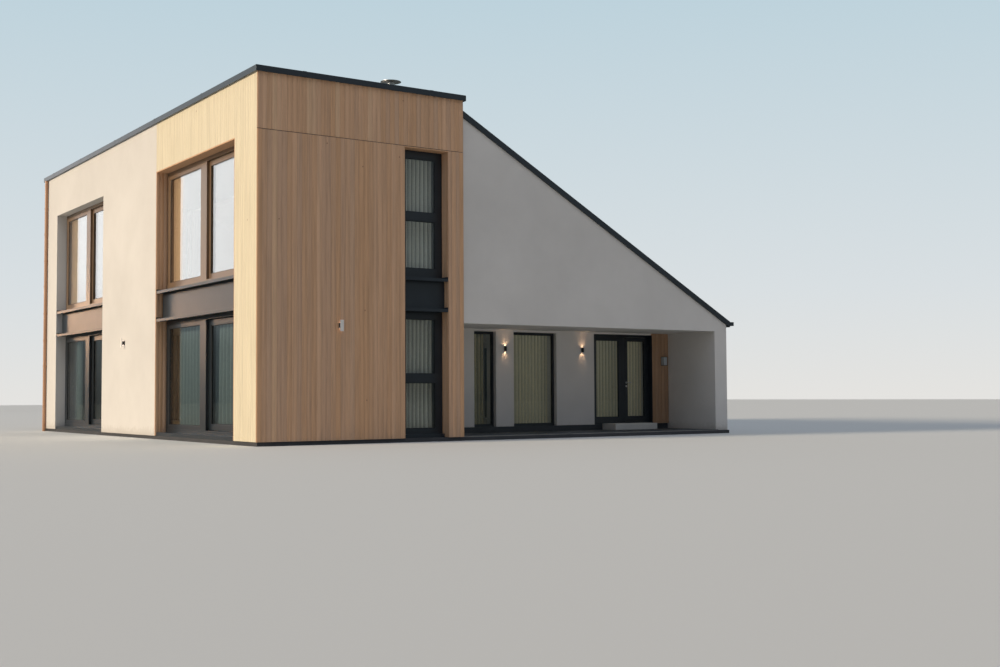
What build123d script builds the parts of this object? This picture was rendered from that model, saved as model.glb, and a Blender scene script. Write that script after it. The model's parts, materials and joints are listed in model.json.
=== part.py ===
from build123d import *
import os

os.makedirs("parts", exist_ok=True)

# Millimetres. Distances named x run to the right from the left face of the house, distances
# named y run back from the front face, and heights run up from the ground.

# The body of the house: a two-storey flat-roofed strip on the left and a pitched wing on its right
house_depth = 15600.0
strip_width = 4800.0
wing_width = 7900.0
wall = 400.0
wall_top = 7440.0
plinth_height = 80.0
plinth_recess = 30.0
cladding = 40.0
lining = 25.0

# Storeys
ground_floor_level = 260.0
upper_floor_underside = 2870.0
upper_floor_level = 3180.0
deck_underside = 6830.0
deck_level = 7150.0

# Pitched roof of the wing
roof_start_drop = 210.0
eaves_height = 2853.0
covering_depth = 144.0
rafter_depth = 275.0
eaves_overhang = 100.0
gable_setback = 120.0
verge_width = 40.0

# Porch under the wing
porch_depth = 1900.0
soffit_height = 2545.0
ceiling_depth = 25.0
paving = 20.0
base_height = 230.0
base_recess = 10.0
porch_head = 2490.0

# Tall openings of the left face, from near jamb to far jamb, and the slim one of the front face
front_bay_near = 1160.0
front_bay_width = 4680.0
rear_bay_width = 4380.0
rear_pier_width = 1280.0
slot_width = 1070.0
slot_edge = 390.0
lower_foot = 160.0
lower_head = 2740.0
upper_foot = 3460.0
upper_head = 6230.0
joint_height = 6252.0
shadow_gap = 8.0

# Ledges and panels in the tall openings
ledge_depth = 80.0
ledge_inset = 10.0
ledge_fall = 12.0
ledge_nose = 14.0
spandrel_inset = 170.0

# Window frames
frame_inset = 270.0
frame_width = 80.0
sash_width = 90.0
sash_step = 6.0
sash_depth = 60.0
post_width = 280.0
post_depth = 60.0
glass_depth = 24.0
bead_depth = 10.0

# Slim window of the front face, whose ledges sit a little higher than those of the bays
slot_rise = 35.0
slot_lower_sill = 120.0
slot_lower_light = 968.0
slot_upper_sill = 205.0
slot_upper_light = 1016.0
transom = 198.0

# Sliding leaves of the tall openings
leaf_stile = 150.0
leaf_rail = 120.0
leaf_depth = 54.0
leaf_step = 72.0
leaf_side_gap = 8.0
leaf_lap = 30.0
rib_height = 8.0
rib_width = 10.0
rib_gap = 5.0
shoe_length = 90.0
shoe_width = 14.0
seat_gap = 0.3

# Entrance in the porch
entrance_width = 1880.0
entrance_edge = 550.0
entrance_head = 2500.0
entrance_inset = 100.0
entrance_frame_width = 60.0
entrance_side_width = 970.0
entrance_post_width = 100.0
leaf_gap = 6.0
entrance_stile_width = 90.0
entrance_rail = 120.0
hinge_radius = 9.0
hinge_length = 120.0
hinge_plate = 4.0
hinge_leaf_width = 42.0
hinge_shares = (0.12, 0.5, 0.88)
step_width = 1360.0
step_going = 520.0
step_rise = 155.0
step_edge = 8.0

# Tall windows of the porch, the right face and the rear face
narrow_window_near = 1490.0
narrow_window_width = 620.0
window_pier_width = 510.0
wide_window_width = 1280.0
tall_inset = 110.0
tall_frame_width = 55.0
right_window_near = 2400.0
right_window_rear = 5300.0
right_window_lintel = 227.0
rear_window_near = 1100.0
rear_window_right = 3800.0
loft_window_sill = 520.0
loft_window_height = 1500.0

# Copings
coping_overhang = 50.0
coping_lap = 55.0
coping_depth = 70.0
coping_lip = 12.0
coping_inner_overhang = 30.0

# Rainwater
gutter_width = 130.0
gutter_depth = 95.0
gutter_sheet = 6.0
pipe_radius = 45.0
pipe_stand_off = 10.0
left_pipe_edge = 280.0
clip_heights = (1880.0, 3430.0, 4980.0, 6530.0)
clip_height = 40.0
clip_arm = 45.0
clip_sheet = 6.0

# Flue and chimney on the flat roof
flue_edge = 790.0
flue_y = 1800.0
flue_radius = 75.0
flue_top = 8020.0
cap_radius = 235.0
cap_height = 90.0
cap_neck_radius = 86.0
cap_neck_height = 40.0
cap_rim = (54.0, 61.0)
collar_radius = 150.0
collar_height = 150.0
chimney_width = 900.0
chimney_edge = 1400.0
chimney_depth = 600.0
chimney_rear = 5400.0
chimney_top = 8350.0
chimney_cap_depth = 90.0
chimney_cap_overhang = 60.0
pot_radius = 130.0
pot_height = 180.0

# Wall lights
lamp_width = 76.0
lamp_height = 230.0
lamp_depth = 90.0
lamp_plate = 22.0
bracket_width = 56.0
bracket_height = 96.0
bracket_foot = 67.0
front_lamp = (1820.0, 2290.0)
left_lamp_edge = 2270.0
left_lamp_foot = 2200.0
porch_lamp_edge = 380.0
porch_lamp_foot = 2030.0
spot_radius = 32.0
spot_height = 110.0
door_lamp_edge = 180.0
door_lamp_foot = 1720.0

# Curtains
curtain_depth = 70.0
curtain_gap = 90.0
curtain_floor_gap = 20.0
front_curtain_spans = ((0.0, 0.86), (0.78, 1.0))
rear_curtain_spans = ((0.72, 1.0), (0.7, 1.0))

total_width = strip_width + wing_width
eaves_x = total_width + eaves_overhang
roof_start = wall_top - roof_start_drop
slope = (roof_start - eaves_height) / wing_width
pipe_reach = pipe_stand_off + 2 * pipe_radius + clip_sheet
left_face = -(eaves_x + gutter_width - pipe_reach) / 2
front_face = -(house_depth + coping_overhang - lamp_depth) / 2
wing_right_inner = total_width - wall
porch_wall_back = porch_depth + wall
rear_inner = house_depth - wall
gable_inner = gable_setback + wall
front_bay = (front_bay_near, front_bay_near + front_bay_width)
rear_bay = (house_depth - rear_pier_width - rear_bay_width, house_depth - rear_pier_width)
slot = (strip_width - slot_edge - slot_width, strip_width - slot_edge)
entrance = (wing_right_inner - entrance_edge - entrance_width, wing_right_inner - entrance_edge)
entrance_post_near = entrance[0] + entrance_side_width
entrance_post = (entrance_post_near, entrance_post_near + entrance_post_width)
narrow_window_left = strip_width + narrow_window_near
narrow_window = (narrow_window_left, narrow_window_left + narrow_window_width)
wide_window_left = narrow_window[1] + window_pier_width
wide_window = (wide_window_left, wide_window_left + wide_window_width)
right_windows = (porch_wall_back + right_window_near, house_depth - right_window_rear)
right_window_head = eaves_height - covering_depth - right_window_lintel
rear_windows = (strip_width + rear_window_near, wing_right_inner - rear_window_right)
loft_window_foot = upper_floor_level + loft_window_sill
left_pipe_y = house_depth - left_pipe_edge
flue_x = strip_width - flue_edge
chimney_x = (strip_width - chimney_edge - chimney_width, strip_width - chimney_edge)
chimney_y = (house_depth - chimney_rear - chimney_depth, house_depth - chimney_rear)
left_lamp_y = front_bay[1] + left_lamp_edge
porch_lamps = (narrow_window[1] + window_pier_width / 2, entrance[0] - porch_lamp_edge)
door_lamp_x = wing_right_inner - door_lamp_edge
middle_ledge_top = lower_head + ledge_depth - ledge_nose
spandrel_head = upper_foot - ledge_depth + ledge_nose
slot_lower_head = lower_head + slot_rise
slot_upper_foot = upper_foot + slot_rise
gutter_top = roof_start - (eaves_x - strip_width) * slope - coping_lip


def plan(z):
    """A level plane: x to the right of the left face, y behind the front face."""
    return Plane(origin=(left_face, front_face, z))


def across(y):
    """An upright plane parallel to the front, y behind it; extruded backwards by less than 0."""
    return Plane(origin=(left_face, front_face + y, 0), x_dir=(1, 0, 0), z_dir=(0, -1, 0))


def along(x):
    """An upright plane parallel to the left face, x to the right of it; extruded to the right."""
    return Plane(origin=(left_face + x, front_face, 0), x_dir=(0, 1, 0), z_dir=(1, 0, 0))


def area(u0, u1, v0, v1, mode=Mode.ADD):
    """Draws a rectangle between two corners of the plane being sketched on."""
    with Locations(((u0 + u1) / 2, (v0 + v1) / 2)):
        Rectangle(u1 - u0, v1 - v0, mode=mode)


def ring(u0, u1, v0, v1, bar):
    """Draws a rectangular frame whose bars are bar wide."""
    area(u0, u1, v0, v1)
    area(u0 + bar, u1 - bar, v0 + bar, v1 - bar, Mode.SUBTRACT)


def outline(*points):
    """Draws the straight-sided shape through the points."""
    Polygon(*points, align=None)


def save(piece, name):
    piece.part.label = name
    export_step(piece.part, f"parts/{name}.step")


def roof_top(x):
    """Height of the top of the pitched roof at x."""
    return roof_start - (x - strip_width) * slope


def covering_underside(x):
    return roof_top(x) - covering_depth


def rafter_underside(x):
    return covering_underside(x) - rafter_depth


def rafter_x(z):
    """Where the underside of the rafters comes down to height z."""
    return strip_width + (roof_start - covering_depth - rafter_depth - z) / slope


def under_roof(x0, x1):
    """Points under the upper floor, and under the rafters where these are lower, from x1 to x0."""
    bend = rafter_x(upper_floor_underside)
    points = [(x1, min(upper_floor_underside, rafter_underside(x1)))]
    if x0 < bend < x1:
        points.append((bend, upper_floor_underside))
    points.append((x0, min(upper_floor_underside, rafter_underside(x0))))
    return points


# Ground and floors

def make_plinth():
    with BuildPart() as plinth:
        with BuildSketch(plan(0)):
            area(plinth_recess, total_width - plinth_recess, plinth_recess, house_depth - plinth_recess)
        extrude(amount=plinth_height)
    save(plinth, "plinth")


def make_ground_floor():
    with BuildPart() as floor:
        with BuildSketch(plan(plinth_height)):
            area(wall, wing_right_inner, porch_wall_back, rear_inner)
            area(wall, strip_width - wall, wall, porch_wall_back)
        extrude(amount=ground_floor_level - plinth_height)
    save(floor, "ground_floor")


def make_first_floor():
    with BuildPart() as floor:
        with BuildSketch(across(gable_inner)):
            outline(
                (wall, upper_floor_underside),
                (rafter_x(upper_floor_underside), upper_floor_underside),
                (rafter_x(upper_floor_level), upper_floor_level),
                (wall, upper_floor_level),
            )
        extrude(amount=gable_inner - rear_inner)
        with BuildSketch(plan(upper_floor_underside)):
            area(wall, strip_width, wall, gable_inner)
        extrude(amount=upper_floor_level - upper_floor_underside)
    save(floor, "first_floor")


def make_porch_floor():
    with BuildPart() as floor:
        with BuildSketch(plan(plinth_height)):
            area(strip_width, wing_right_inner, plinth_recess, porch_depth + base_recess)
        extrude(amount=paving)
    save(floor, "porch_floor")


def make_porch_base():
    with BuildPart() as base:
        with BuildSketch(plan(plinth_height)):
            area(strip_width, wing_right_inner, porch_depth + base_recess, porch_wall_back)
        extrude(amount=base_height - plinth_height)
    save(base, "porch_base")


def make_entrance_step():
    middle = sum(entrance) / 2
    with BuildPart() as step:
        with BuildSketch(plan(plinth_height + paving)):
            area(middle - step_width / 2, middle + step_width / 2,
                 porch_depth + base_recess - step_going, porch_depth + base_recess)
        extrude(amount=step_rise)
        edges = step.edges().filter_by(Axis.X).group_by(Axis.Z)[-1].sort_by(Axis.Y)
        chamfer(edges[0], length=step_edge)
    save(step, "entrance_step")


# Walls

def make_left_piers():
    with BuildPart() as pier:
        with BuildSketch(plan(plinth_height)):
            area(cladding, wall, cladding, front_bay[0] - lining)
        extrude(amount=upper_head - plinth_height)
    save(pier, "left_wall_front_pier")
    with BuildPart() as pier:
        with BuildSketch(plan(plinth_height)):
            area(0, wall, front_bay[1] + lining, rear_bay[0])
        extrude(amount=upper_head - plinth_height)
    save(pier, "left_wall_middle_pier")
    with BuildPart() as pier:
        with BuildSketch(plan(plinth_height)):
            area(0, wall, rear_bay[1], house_depth)
        extrude(amount=upper_head - plinth_height)
    save(pier, "left_wall_rear_pier")


def make_left_wall_top():
    with BuildPart() as top:
        with BuildSketch(plan(upper_head)):
            area(cladding, wall, cladding, front_bay[1] + lining)
            area(0, wall, front_bay[1] + lining, house_depth)
        extrude(amount=wall_top - upper_head)
        with BuildSketch(plan(upper_head)):
            area(cladding, frame_inset, front_bay[0] - lining, front_bay[1] + lining)
        extrude(amount=lining, mode=Mode.SUBTRACT)
    save(top, "left_wall_top")


def make_front_wall():
    with BuildPart() as front:
        with BuildSketch(across(cladding)):
            area(wall, strip_width, plinth_height, wall_top)
            area(slot[0] - lining, slot[1] + lining, plinth_height, joint_height, Mode.SUBTRACT)
        extrude(amount=cladding - wall)
    save(front, "front_wall")


def make_porch_side_wall():
    with BuildPart() as side:
        with BuildSketch(plan(plinth_height)):
            area(strip_width - wall, strip_width, wall, porch_wall_back)
        extrude(amount=upper_floor_underside - plinth_height)
    save(side, "porch_side_wall")


def make_gable_wall():
    with BuildPart() as gable:
        with BuildSketch(across(gable_setback)):
            outline(
                (strip_width, soffit_height),
                (wing_right_inner, soffit_height),
                (wing_right_inner, plinth_height),
                (total_width, plinth_height),
                (total_width, covering_underside(total_width)),
                (strip_width, covering_underside(strip_width)),
            )
        extrude(amount=-wall)
    save(gable, "gable_wall")


def make_porch_wall():
    with BuildPart() as back:
        with BuildSketch(across(porch_depth)):
            area(strip_width, entrance[0], base_height, upper_floor_underside)
            for opening in (narrow_window, wide_window):
                area(*opening, base_height, porch_head, Mode.SUBTRACT)
        extrude(amount=-wall)
    save(back, "porch_wall")
    with BuildPart() as lintel:
        with BuildSketch(across(porch_depth)):
            outline((entrance[0], entrance_head), (entrance[1], entrance_head), *under_roof(*entrance))
        extrude(amount=-wall)
    save(lintel, "entrance_lintel")
    with BuildPart() as end:
        with BuildSketch(across(porch_depth)):
            outline((entrance[1], base_height), (wing_right_inner, base_height),
                    *under_roof(entrance[1], wing_right_inner))
        extrude(amount=-wall)
    save(end, "porch_wall_end")


def make_porch_ceiling():
    with BuildPart() as ceiling:
        with BuildSketch(plan(soffit_height)):
            area(strip_width, wing_right_inner, gable_inner, porch_depth)
        extrude(amount=ceiling_depth)
    save(ceiling, "porch_ceiling")


def make_right_wall():
    with BuildPart() as right:
        with BuildSketch(across(gable_inner)):
            outline(
                (wing_right_inner, plinth_height),
                (total_width, plinth_height),
                (total_width, covering_underside(total_width)),
                (wing_right_inner, covering_underside(wing_right_inner)),
            )
        extrude(amount=gable_inner - house_depth)
        with BuildSketch(along(wing_right_inner)):
            for near in right_windows:
                area(near, near + narrow_window_width, ground_floor_level, right_window_head)
        extrude(amount=wall, mode=Mode.SUBTRACT)
    save(right, "right_wall")


def make_rear_walls():
    with BuildPart() as rear:
        with BuildSketch(across(rear_inner)):
            area(wall, strip_width, plinth_height, wall_top)
            area(*slot, lower_foot, slot_lower_head, Mode.SUBTRACT)
            area(*slot, slot_upper_foot, upper_head, Mode.SUBTRACT)
        extrude(amount=-wall)
    save(rear, "rear_wall_left")
    with BuildPart() as rear:
        with BuildSketch(across(rear_inner)):
            outline(
                (strip_width, plinth_height),
                (wing_right_inner, plinth_height),
                (wing_right_inner, covering_underside(wing_right_inner)),
                (strip_width, covering_underside(strip_width)),
            )
            for x in rear_windows:
                area(x, x + wide_window_width, ground_floor_level, porch_head, Mode.SUBTRACT)
            x = rear_windows[0]
            area(x, x + wide_window_width, loft_window_foot, loft_window_foot + loft_window_height,
                 Mode.SUBTRACT)
        extrude(amount=-wall)
    save(rear, "rear_wall_right")


# Roofs

def make_roof_beam():
    with BuildPart() as beam:
        with BuildSketch(plan(deck_underside)):
            area(strip_width - wall, strip_width, wall, rear_inner)
        extrude(amount=wall_top - deck_underside)
    save(beam, "roof_beam")


def make_flat_roof():
    with BuildPart() as deck:
        with BuildSketch(plan(deck_underside)):
            area(wall, strip_width - wall, wall, rear_inner)
        extrude(amount=deck_level - deck_underside)
    save(deck, "flat_roof")


def make_pitched_roof():
    with BuildPart() as rafters:
        with BuildSketch(across(gable_inner)):
            outline(
                (strip_width, rafter_underside(strip_width)),
                (wing_right_inner, rafter_underside(wing_right_inner)),
                (wing_right_inner, covering_underside(wing_right_inner)),
                (strip_width, covering_underside(strip_width)),
            )
        extrude(amount=gable_inner - rear_inner)
    save(rafters, "pitched_roof")


def sloped_band():
    """Draws the edge of the roof covering, from the strip down to the eaves."""
    outline(
        (strip_width, covering_underside(strip_width)),
        (eaves_x, covering_underside(eaves_x)),
        (eaves_x, roof_top(eaves_x)),
        (strip_width, roof_top(strip_width)),
    )


def make_roof_covering():
    with BuildPart() as covering:
        with BuildSketch(across(gable_setback)):
            sloped_band()
        extrude(amount=gable_setback - house_depth)
    save(covering, "roof_covering")


def make_verge_trims():
    with BuildPart() as trims:
        with BuildSketch(across(gable_setback - verge_width)):
            sloped_band()
        extrude(amount=-verge_width)
        with BuildSketch(across(house_depth)):
            sloped_band()
        extrude(amount=-verge_width)
    save(trims, "verge_trims")


def make_coping():
    out = coping_overhang
    inside = wall + coping_inner_overhang
    with BuildPart() as coping:
        with BuildSketch(plan(wall_top)):
            area(-out, strip_width + out, -out, house_depth + out)
            area(inside, strip_width - inside, inside, house_depth - inside, Mode.SUBTRACT)
        extrude(amount=coping_depth)
        with BuildSketch(plan(wall_top - coping_lap)):
            area(-out, strip_width + out, -out, house_depth + out)
            area(coping_lip - out, strip_width + out - coping_lip,
                 coping_lip - out, house_depth + out - coping_lip, Mode.SUBTRACT)
        extrude(amount=coping_lap)
        outer = coping.edges().filter_by(Plane.XY).group_by(Axis.Z)[-1]
        chamfer(outer, length=coping_lip / 2)
    save(coping, "parapet_coping")


def make_gutter():
    top = gutter_top
    with BuildPart() as gutter:
        with BuildSketch(across(gable_setback - verge_width)):
            area(eaves_x, eaves_x + gutter_width, top - gutter_depth, top)
            area(eaves_x + gutter_sheet, eaves_x + gutter_width - gutter_sheet,
                 top - gutter_depth + gutter_sheet, top, Mode.SUBTRACT)
        extrude(amount=gable_setback - 2 * verge_width - house_depth)
        for y in (gable_setback - verge_width, house_depth + verge_width - gutter_sheet):
            with BuildSketch(across(y)):
                area(eaves_x, eaves_x + gutter_width, top - gutter_depth, top)
            extrude(amount=-gutter_sheet)
    save(gutter, "eaves_gutter")


def make_downpipes():
    left_x = -pipe_stand_off - pipe_radius
    right_x = eaves_x + gutter_width / 2
    right_y = house_depth - wall
    with BuildPart() as pipes:
        with BuildSketch(plan(0)):
            with Locations((left_x, left_pipe_y)):
                Circle(pipe_radius)
        extrude(amount=wall_top - coping_lap)
        with BuildSketch(plan(0)):
            with Locations((right_x, right_y)):
                Circle(pipe_radius)
        extrude(amount=gutter_top - gutter_depth)
        for z in clip_heights:
            with BuildSketch(plan(z)):
                with Locations((left_x, left_pipe_y)):
                    Circle(pipe_radius + clip_sheet)
                area(left_x, 0, left_pipe_y - clip_arm / 2, left_pipe_y + clip_arm / 2)
            extrude(amount=clip_height)
        with BuildSketch(plan(clip_heights[0])):
            area(total_width, right_x, right_y - clip_arm / 2, right_y + clip_arm / 2)
            with Locations((right_x, right_y)):
                Circle(pipe_radius + clip_sheet)
        extrude(amount=clip_height)
    save(pipes, "downpipes")


# Flue and chimney

def make_flue():
    with BuildPart() as flue:
        with BuildSketch(plan(deck_level)):
            with Locations((flue_x, flue_y)):
                Circle(flue_radius)
        extrude(amount=flue_top - deck_level)
        with BuildSketch(plan(deck_level)):
            with Locations((flue_x, flue_y)):
                Circle(collar_radius)
        with BuildSketch(plan(deck_level + collar_height)):
            with Locations((flue_x, flue_y)):
                Circle(flue_radius)
        loft()
    save(flue, "flue")
    axis_plane = Plane(origin=(left_face + flue_x, front_face + flue_y, flue_top),
                       x_dir=(1, 0, 0), z_dir=(0, -1, 0))
    with BuildPart() as cap:
        with BuildSketch(axis_plane):
            outline(
                (0, 0),
                (cap_neck_radius, 0),
                (cap_neck_radius, cap_neck_height),
                (cap_radius, cap_rim[0]),
                (cap_radius, cap_rim[1]),
                (0, cap_height),
            )
        revolve(axis=Axis((left_face + flue_x, front_face + flue_y, 0), (0, 0, 1)))
    save(cap, "flue_cap")


def make_chimney():
    with BuildPart() as stack:
        with BuildSketch(plan(deck_level)):
            area(*chimney_x, *chimney_y)
        extrude(amount=chimney_top - deck_level)
    save(stack, "chimney")
    over = chimney_cap_overhang
    with BuildPart() as cap:
        with BuildSketch(plan(chimney_top)):
            area(chimney_x[0] - over, chimney_x[1] + over, chimney_y[0] - over, chimney_y[1] + over)
        extrude(amount=chimney_cap_depth)
        chamfer(cap.edges().group_by(Axis.Z)[-1], length=over / 2)
        with BuildSketch(plan(chimney_top + chimney_cap_depth)):
            with Locations((sum(chimney_x) / 2, sum(chimney_y) / 2)):
                Circle(pot_radius)
        extrude(amount=pot_height)
    save(cap, "chimney_cap")


# Timber cladding

def make_front_cladding():
    with BuildPart() as lower:
        with BuildSketch(across(0)):
            area(0, strip_width, plinth_height, joint_height)
            area(*slot, plinth_height, upper_head, Mode.SUBTRACT)
        extrude(amount=-cladding)
        with BuildSketch(across(cladding)):
            area(slot[0] - lining, slot[1] + lining, plinth_height, joint_height)
            area(*slot, plinth_height, upper_head, Mode.SUBTRACT)
        extrude(amount=cladding - frame_inset)
    save(lower, "front_cladding_lower")
    with BuildPart() as upper:
        with BuildSketch(across(0)):
            area(0, strip_width, joint_height + shadow_gap, wall_top)
        extrude(amount=-cladding)
    save(upper, "front_cladding_upper")


def make_left_cladding():
    with BuildPart() as pier:
        with BuildSketch(plan(plinth_height)):
            area(0, cladding, cladding, front_bay[0])
            area(0, frame_inset, front_bay[0] - lining, front_bay[0])
        extrude(amount=upper_head - plinth_height)
    save(pier, "left_cladding_pier")
    with BuildPart() as top:
        with BuildSketch(along(0)):
            area(cladding, front_bay[1] + lining, upper_head, wall_top)
        extrude(amount=cladding)
        with BuildSketch(along(0)):
            area(front_bay[0] - lining, front_bay[1] + lining, upper_head, upper_head + lining)
        extrude(amount=frame_inset)
    save(top, "left_cladding_top")
    with BuildPart() as jamb:
        with BuildSketch(plan(plinth_height)):
            area(0, frame_inset, front_bay[1], front_bay[1] + lining)
        extrude(amount=upper_head - plinth_height)
    save(jamb, "bay_jamb_lining")


def make_porch_cladding():
    with BuildPart() as boards:
        with BuildSketch(across(porch_depth - cladding)):
            area(entrance[1], wing_right_inner, base_height, soffit_height)
        extrude(amount=-cladding)
    save(boards, "porch_cladding")


# Ledges and metal panels of the tall openings

def ledge_profile(top):
    """Draws a ledge's section from its nose to its back: a fall, a nose and a drip."""
    outline(
        (ledge_inset, top - ledge_depth),
        (ledge_inset + ledge_nose, top - ledge_depth),
        (ledge_inset + ledge_nose, top - ledge_depth + ledge_nose),
        (wall, top - ledge_depth + ledge_nose),
        (wall, top),
        (frame_inset, top),
        (ledge_inset, top - ledge_fall),
    )


def make_ledges():
    with BuildPart() as ledges:
        for bay in (front_bay, rear_bay):
            for top in (upper_foot, middle_ledge_top):
                with BuildSketch(across(bay[0])):
                    ledge_profile(top)
                extrude(amount=bay[0] - bay[1])
        for top in (upper_foot, middle_ledge_top):
            with BuildSketch(along(slot[0])):
                ledge_profile(top + slot_rise)
            extrude(amount=slot[1] - slot[0])
    save(ledges, "window_ledges")


def make_panels():
    with BuildPart() as panels:
        for bay in (front_bay, rear_bay):
            with BuildSketch(along(spandrel_inset)):
                area(*bay, middle_ledge_top, spandrel_head)
            extrude(amount=wall - spandrel_inset)
            with BuildSketch(along(plinth_recess)):
                area(*bay, plinth_height, lower_foot)
            extrude(amount=wall - plinth_recess)
        with BuildSketch(across(spandrel_inset)):
            area(*slot, middle_ledge_top + slot_rise, spandrel_head + slot_rise)
        extrude(amount=spandrel_inset - wall)
        with BuildSketch(across(spandrel_inset)):
            area(*slot, plinth_height, lower_foot)
        extrude(amount=spandrel_inset - wall)
    save(panels, "metal_panels")


# Windows of the left face

def bay_layout(bay):
    """The near opening, the post and the far opening between a bay's frame bars."""
    near = bay[0] + frame_width
    far = bay[1] - frame_width
    light = (far - near - post_width) / 2
    return near, near + light, near + light + post_width, far


def bay_frame(bay, foot, head, sliding):
    """One frame with its post, and with a rib to slide on where a leaf slides."""
    near, post_near, post_far, far = bay_layout(bay)
    with BuildSketch(along(frame_inset)) as border:
        ring(*bay, foot, head, frame_width)
    extrude(border.sketch, amount=wall - frame_inset)
    with BuildSketch(along(frame_inset)) as post:
        area(post_near, post_far, foot + frame_width, head - frame_width)
    extrude(post.sketch, amount=post_depth)
    if sliding:
        with BuildSketch(along(frame_inset + leaf_step + (leaf_depth - rib_width) / 2)) as rib:
            area(near, far, foot + frame_width, foot + frame_width + rib_height)
        extrude(rib.sketch, amount=rib_width)


def make_bay_frames():
    with BuildPart() as lower:
        for bay in (front_bay, rear_bay):
            bay_frame(bay, lower_foot, lower_head, True)
    save(lower, "bay_lower_frames")
    with BuildPart() as upper:
        for bay in (front_bay, rear_bay):
            bay_frame(bay, upper_foot, upper_head, False)
    save(upper, "bay_upper_frames")


def make_bay_sashes():
    """The sashes that stand still: the far one of each frame, and the near one of the upper frames."""
    with BuildPart() as sashes:
        for bay in (front_bay, rear_bay):
            near, post_near, post_far, far = bay_layout(bay)
            for foot, head in ((lower_foot, lower_head), (upper_foot, upper_head)):
                low = foot + frame_width
                high = head - frame_width
                with BuildSketch(along(frame_inset + sash_step)):
                    ring(post_far, far, low, high, sash_width)
                extrude(amount=sash_depth)
                with BuildSketch(along(frame_inset + sash_step + bead_depth)):
                    ring(post_far + sash_width, far - sash_width, low + sash_width, high - sash_width,
                         bead_depth)
                extrude(amount=sash_depth - bead_depth)
            with BuildSketch(along(frame_inset + post_depth)):
                ring(near, post_near + leaf_lap, upper_foot + frame_width, upper_head - frame_width,
                     leaf_rail)
            extrude(amount=sash_depth)
    save(sashes, "bay_fixed_sashes")


def leaf_size(bay):
    """Near edge, far edge, foot and head of a sliding leaf."""
    near, post_near, _, _ = bay_layout(bay)
    foot = lower_foot + frame_width + rib_height + rib_gap
    return near + leaf_side_gap, post_near + leaf_lap, foot, lower_head - frame_width - leaf_side_gap


def make_sliding_leaf(bay, name):
    near, far, foot, head = leaf_size(bay)
    x = frame_inset + leaf_step
    middle = x + leaf_depth / 2
    with BuildPart() as leaf:
        with BuildSketch(along(x)):
            area(near, far, foot, head)
            area(near + leaf_stile, far - leaf_stile, foot + leaf_rail, head - leaf_rail, Mode.SUBTRACT)
        extrude(amount=leaf_depth)
        with BuildSketch(along(x + bead_depth)):
            ring(near + leaf_stile, far - leaf_stile, foot + leaf_rail, head - leaf_rail, bead_depth)
        extrude(amount=leaf_depth - 2 * bead_depth)
        for y in (near + leaf_stile, far - leaf_stile - shoe_length):
            with BuildSketch(along(middle - shoe_width / 2)):
                area(y, y + shoe_length, foot - rib_gap + seat_gap, foot)
            extrude(amount=shoe_width)
    save(leaf, name)
    with BuildPart() as pane:
        with BuildSketch(along(middle - glass_depth / 2)):
            area(near + leaf_stile + bead_depth, far - leaf_stile - bead_depth,
                 foot + leaf_rail + bead_depth, head - leaf_rail - bead_depth)
        extrude(amount=glass_depth)
    save(pane, name + "_glass")


# Slim window of the front face, repeated at the rear

def slot_windows():
    """Depth of face, foot, head, lower and upper light of each slim window."""
    bar = frame_width + sash_width
    found = []
    for y in (frame_inset, house_depth - wall):
        for foot, head, sill, light in (
            (lower_foot, slot_lower_head, slot_lower_sill, slot_lower_light),
            (slot_upper_foot, upper_head, slot_upper_sill, slot_upper_light),
        ):
            low = (foot + sill, foot + sill + light)
            found.append((y, foot, head, low, (low[1] + transom, head - bar)))
    return found


def make_slot_frames():
    """Each frame with its sashes and its transom, of one depth with the wall behind it."""
    bar = frame_width + sash_width
    with BuildPart() as frames:
        for y, foot, head, *lights in slot_windows():
            with BuildSketch(across(y)):
                area(*slot, foot, head)
                for light in lights:
                    area(slot[0] + bar, slot[1] - bar, *light, Mode.SUBTRACT)
            extrude(amount=frame_inset - wall)
    save(frames, "slim_window_frames")


# Tall windows

def tall_windows():
    """Plane, near edge, far edge, foot and head of each plain tall window."""
    rear = rear_inner + tall_inset
    x = rear_windows[0]
    found = [(across(porch_depth + tall_inset), -1, *edges, base_height, porch_head)
             for edges in (narrow_window, wide_window)]
    found += [(along(total_width - tall_inset - sash_depth), 1, near, near + narrow_window_width,
               ground_floor_level, right_window_head) for near in right_windows]
    found += [(across(rear), -1, near, near + wide_window_width, ground_floor_level, porch_head)
              for near in rear_windows]
    found.append((across(rear), -1, x, x + wide_window_width,
                  loft_window_foot, loft_window_foot + loft_window_height))
    return found


def make_tall_frames():
    with BuildPart() as frames:
        for plane, way, near, far, foot, head in tall_windows():
            with BuildSketch(plane):
                ring(near, far, foot, head, tall_frame_width)
            extrude(amount=way * sash_depth)
    save(frames, "tall_window_frames")


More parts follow.
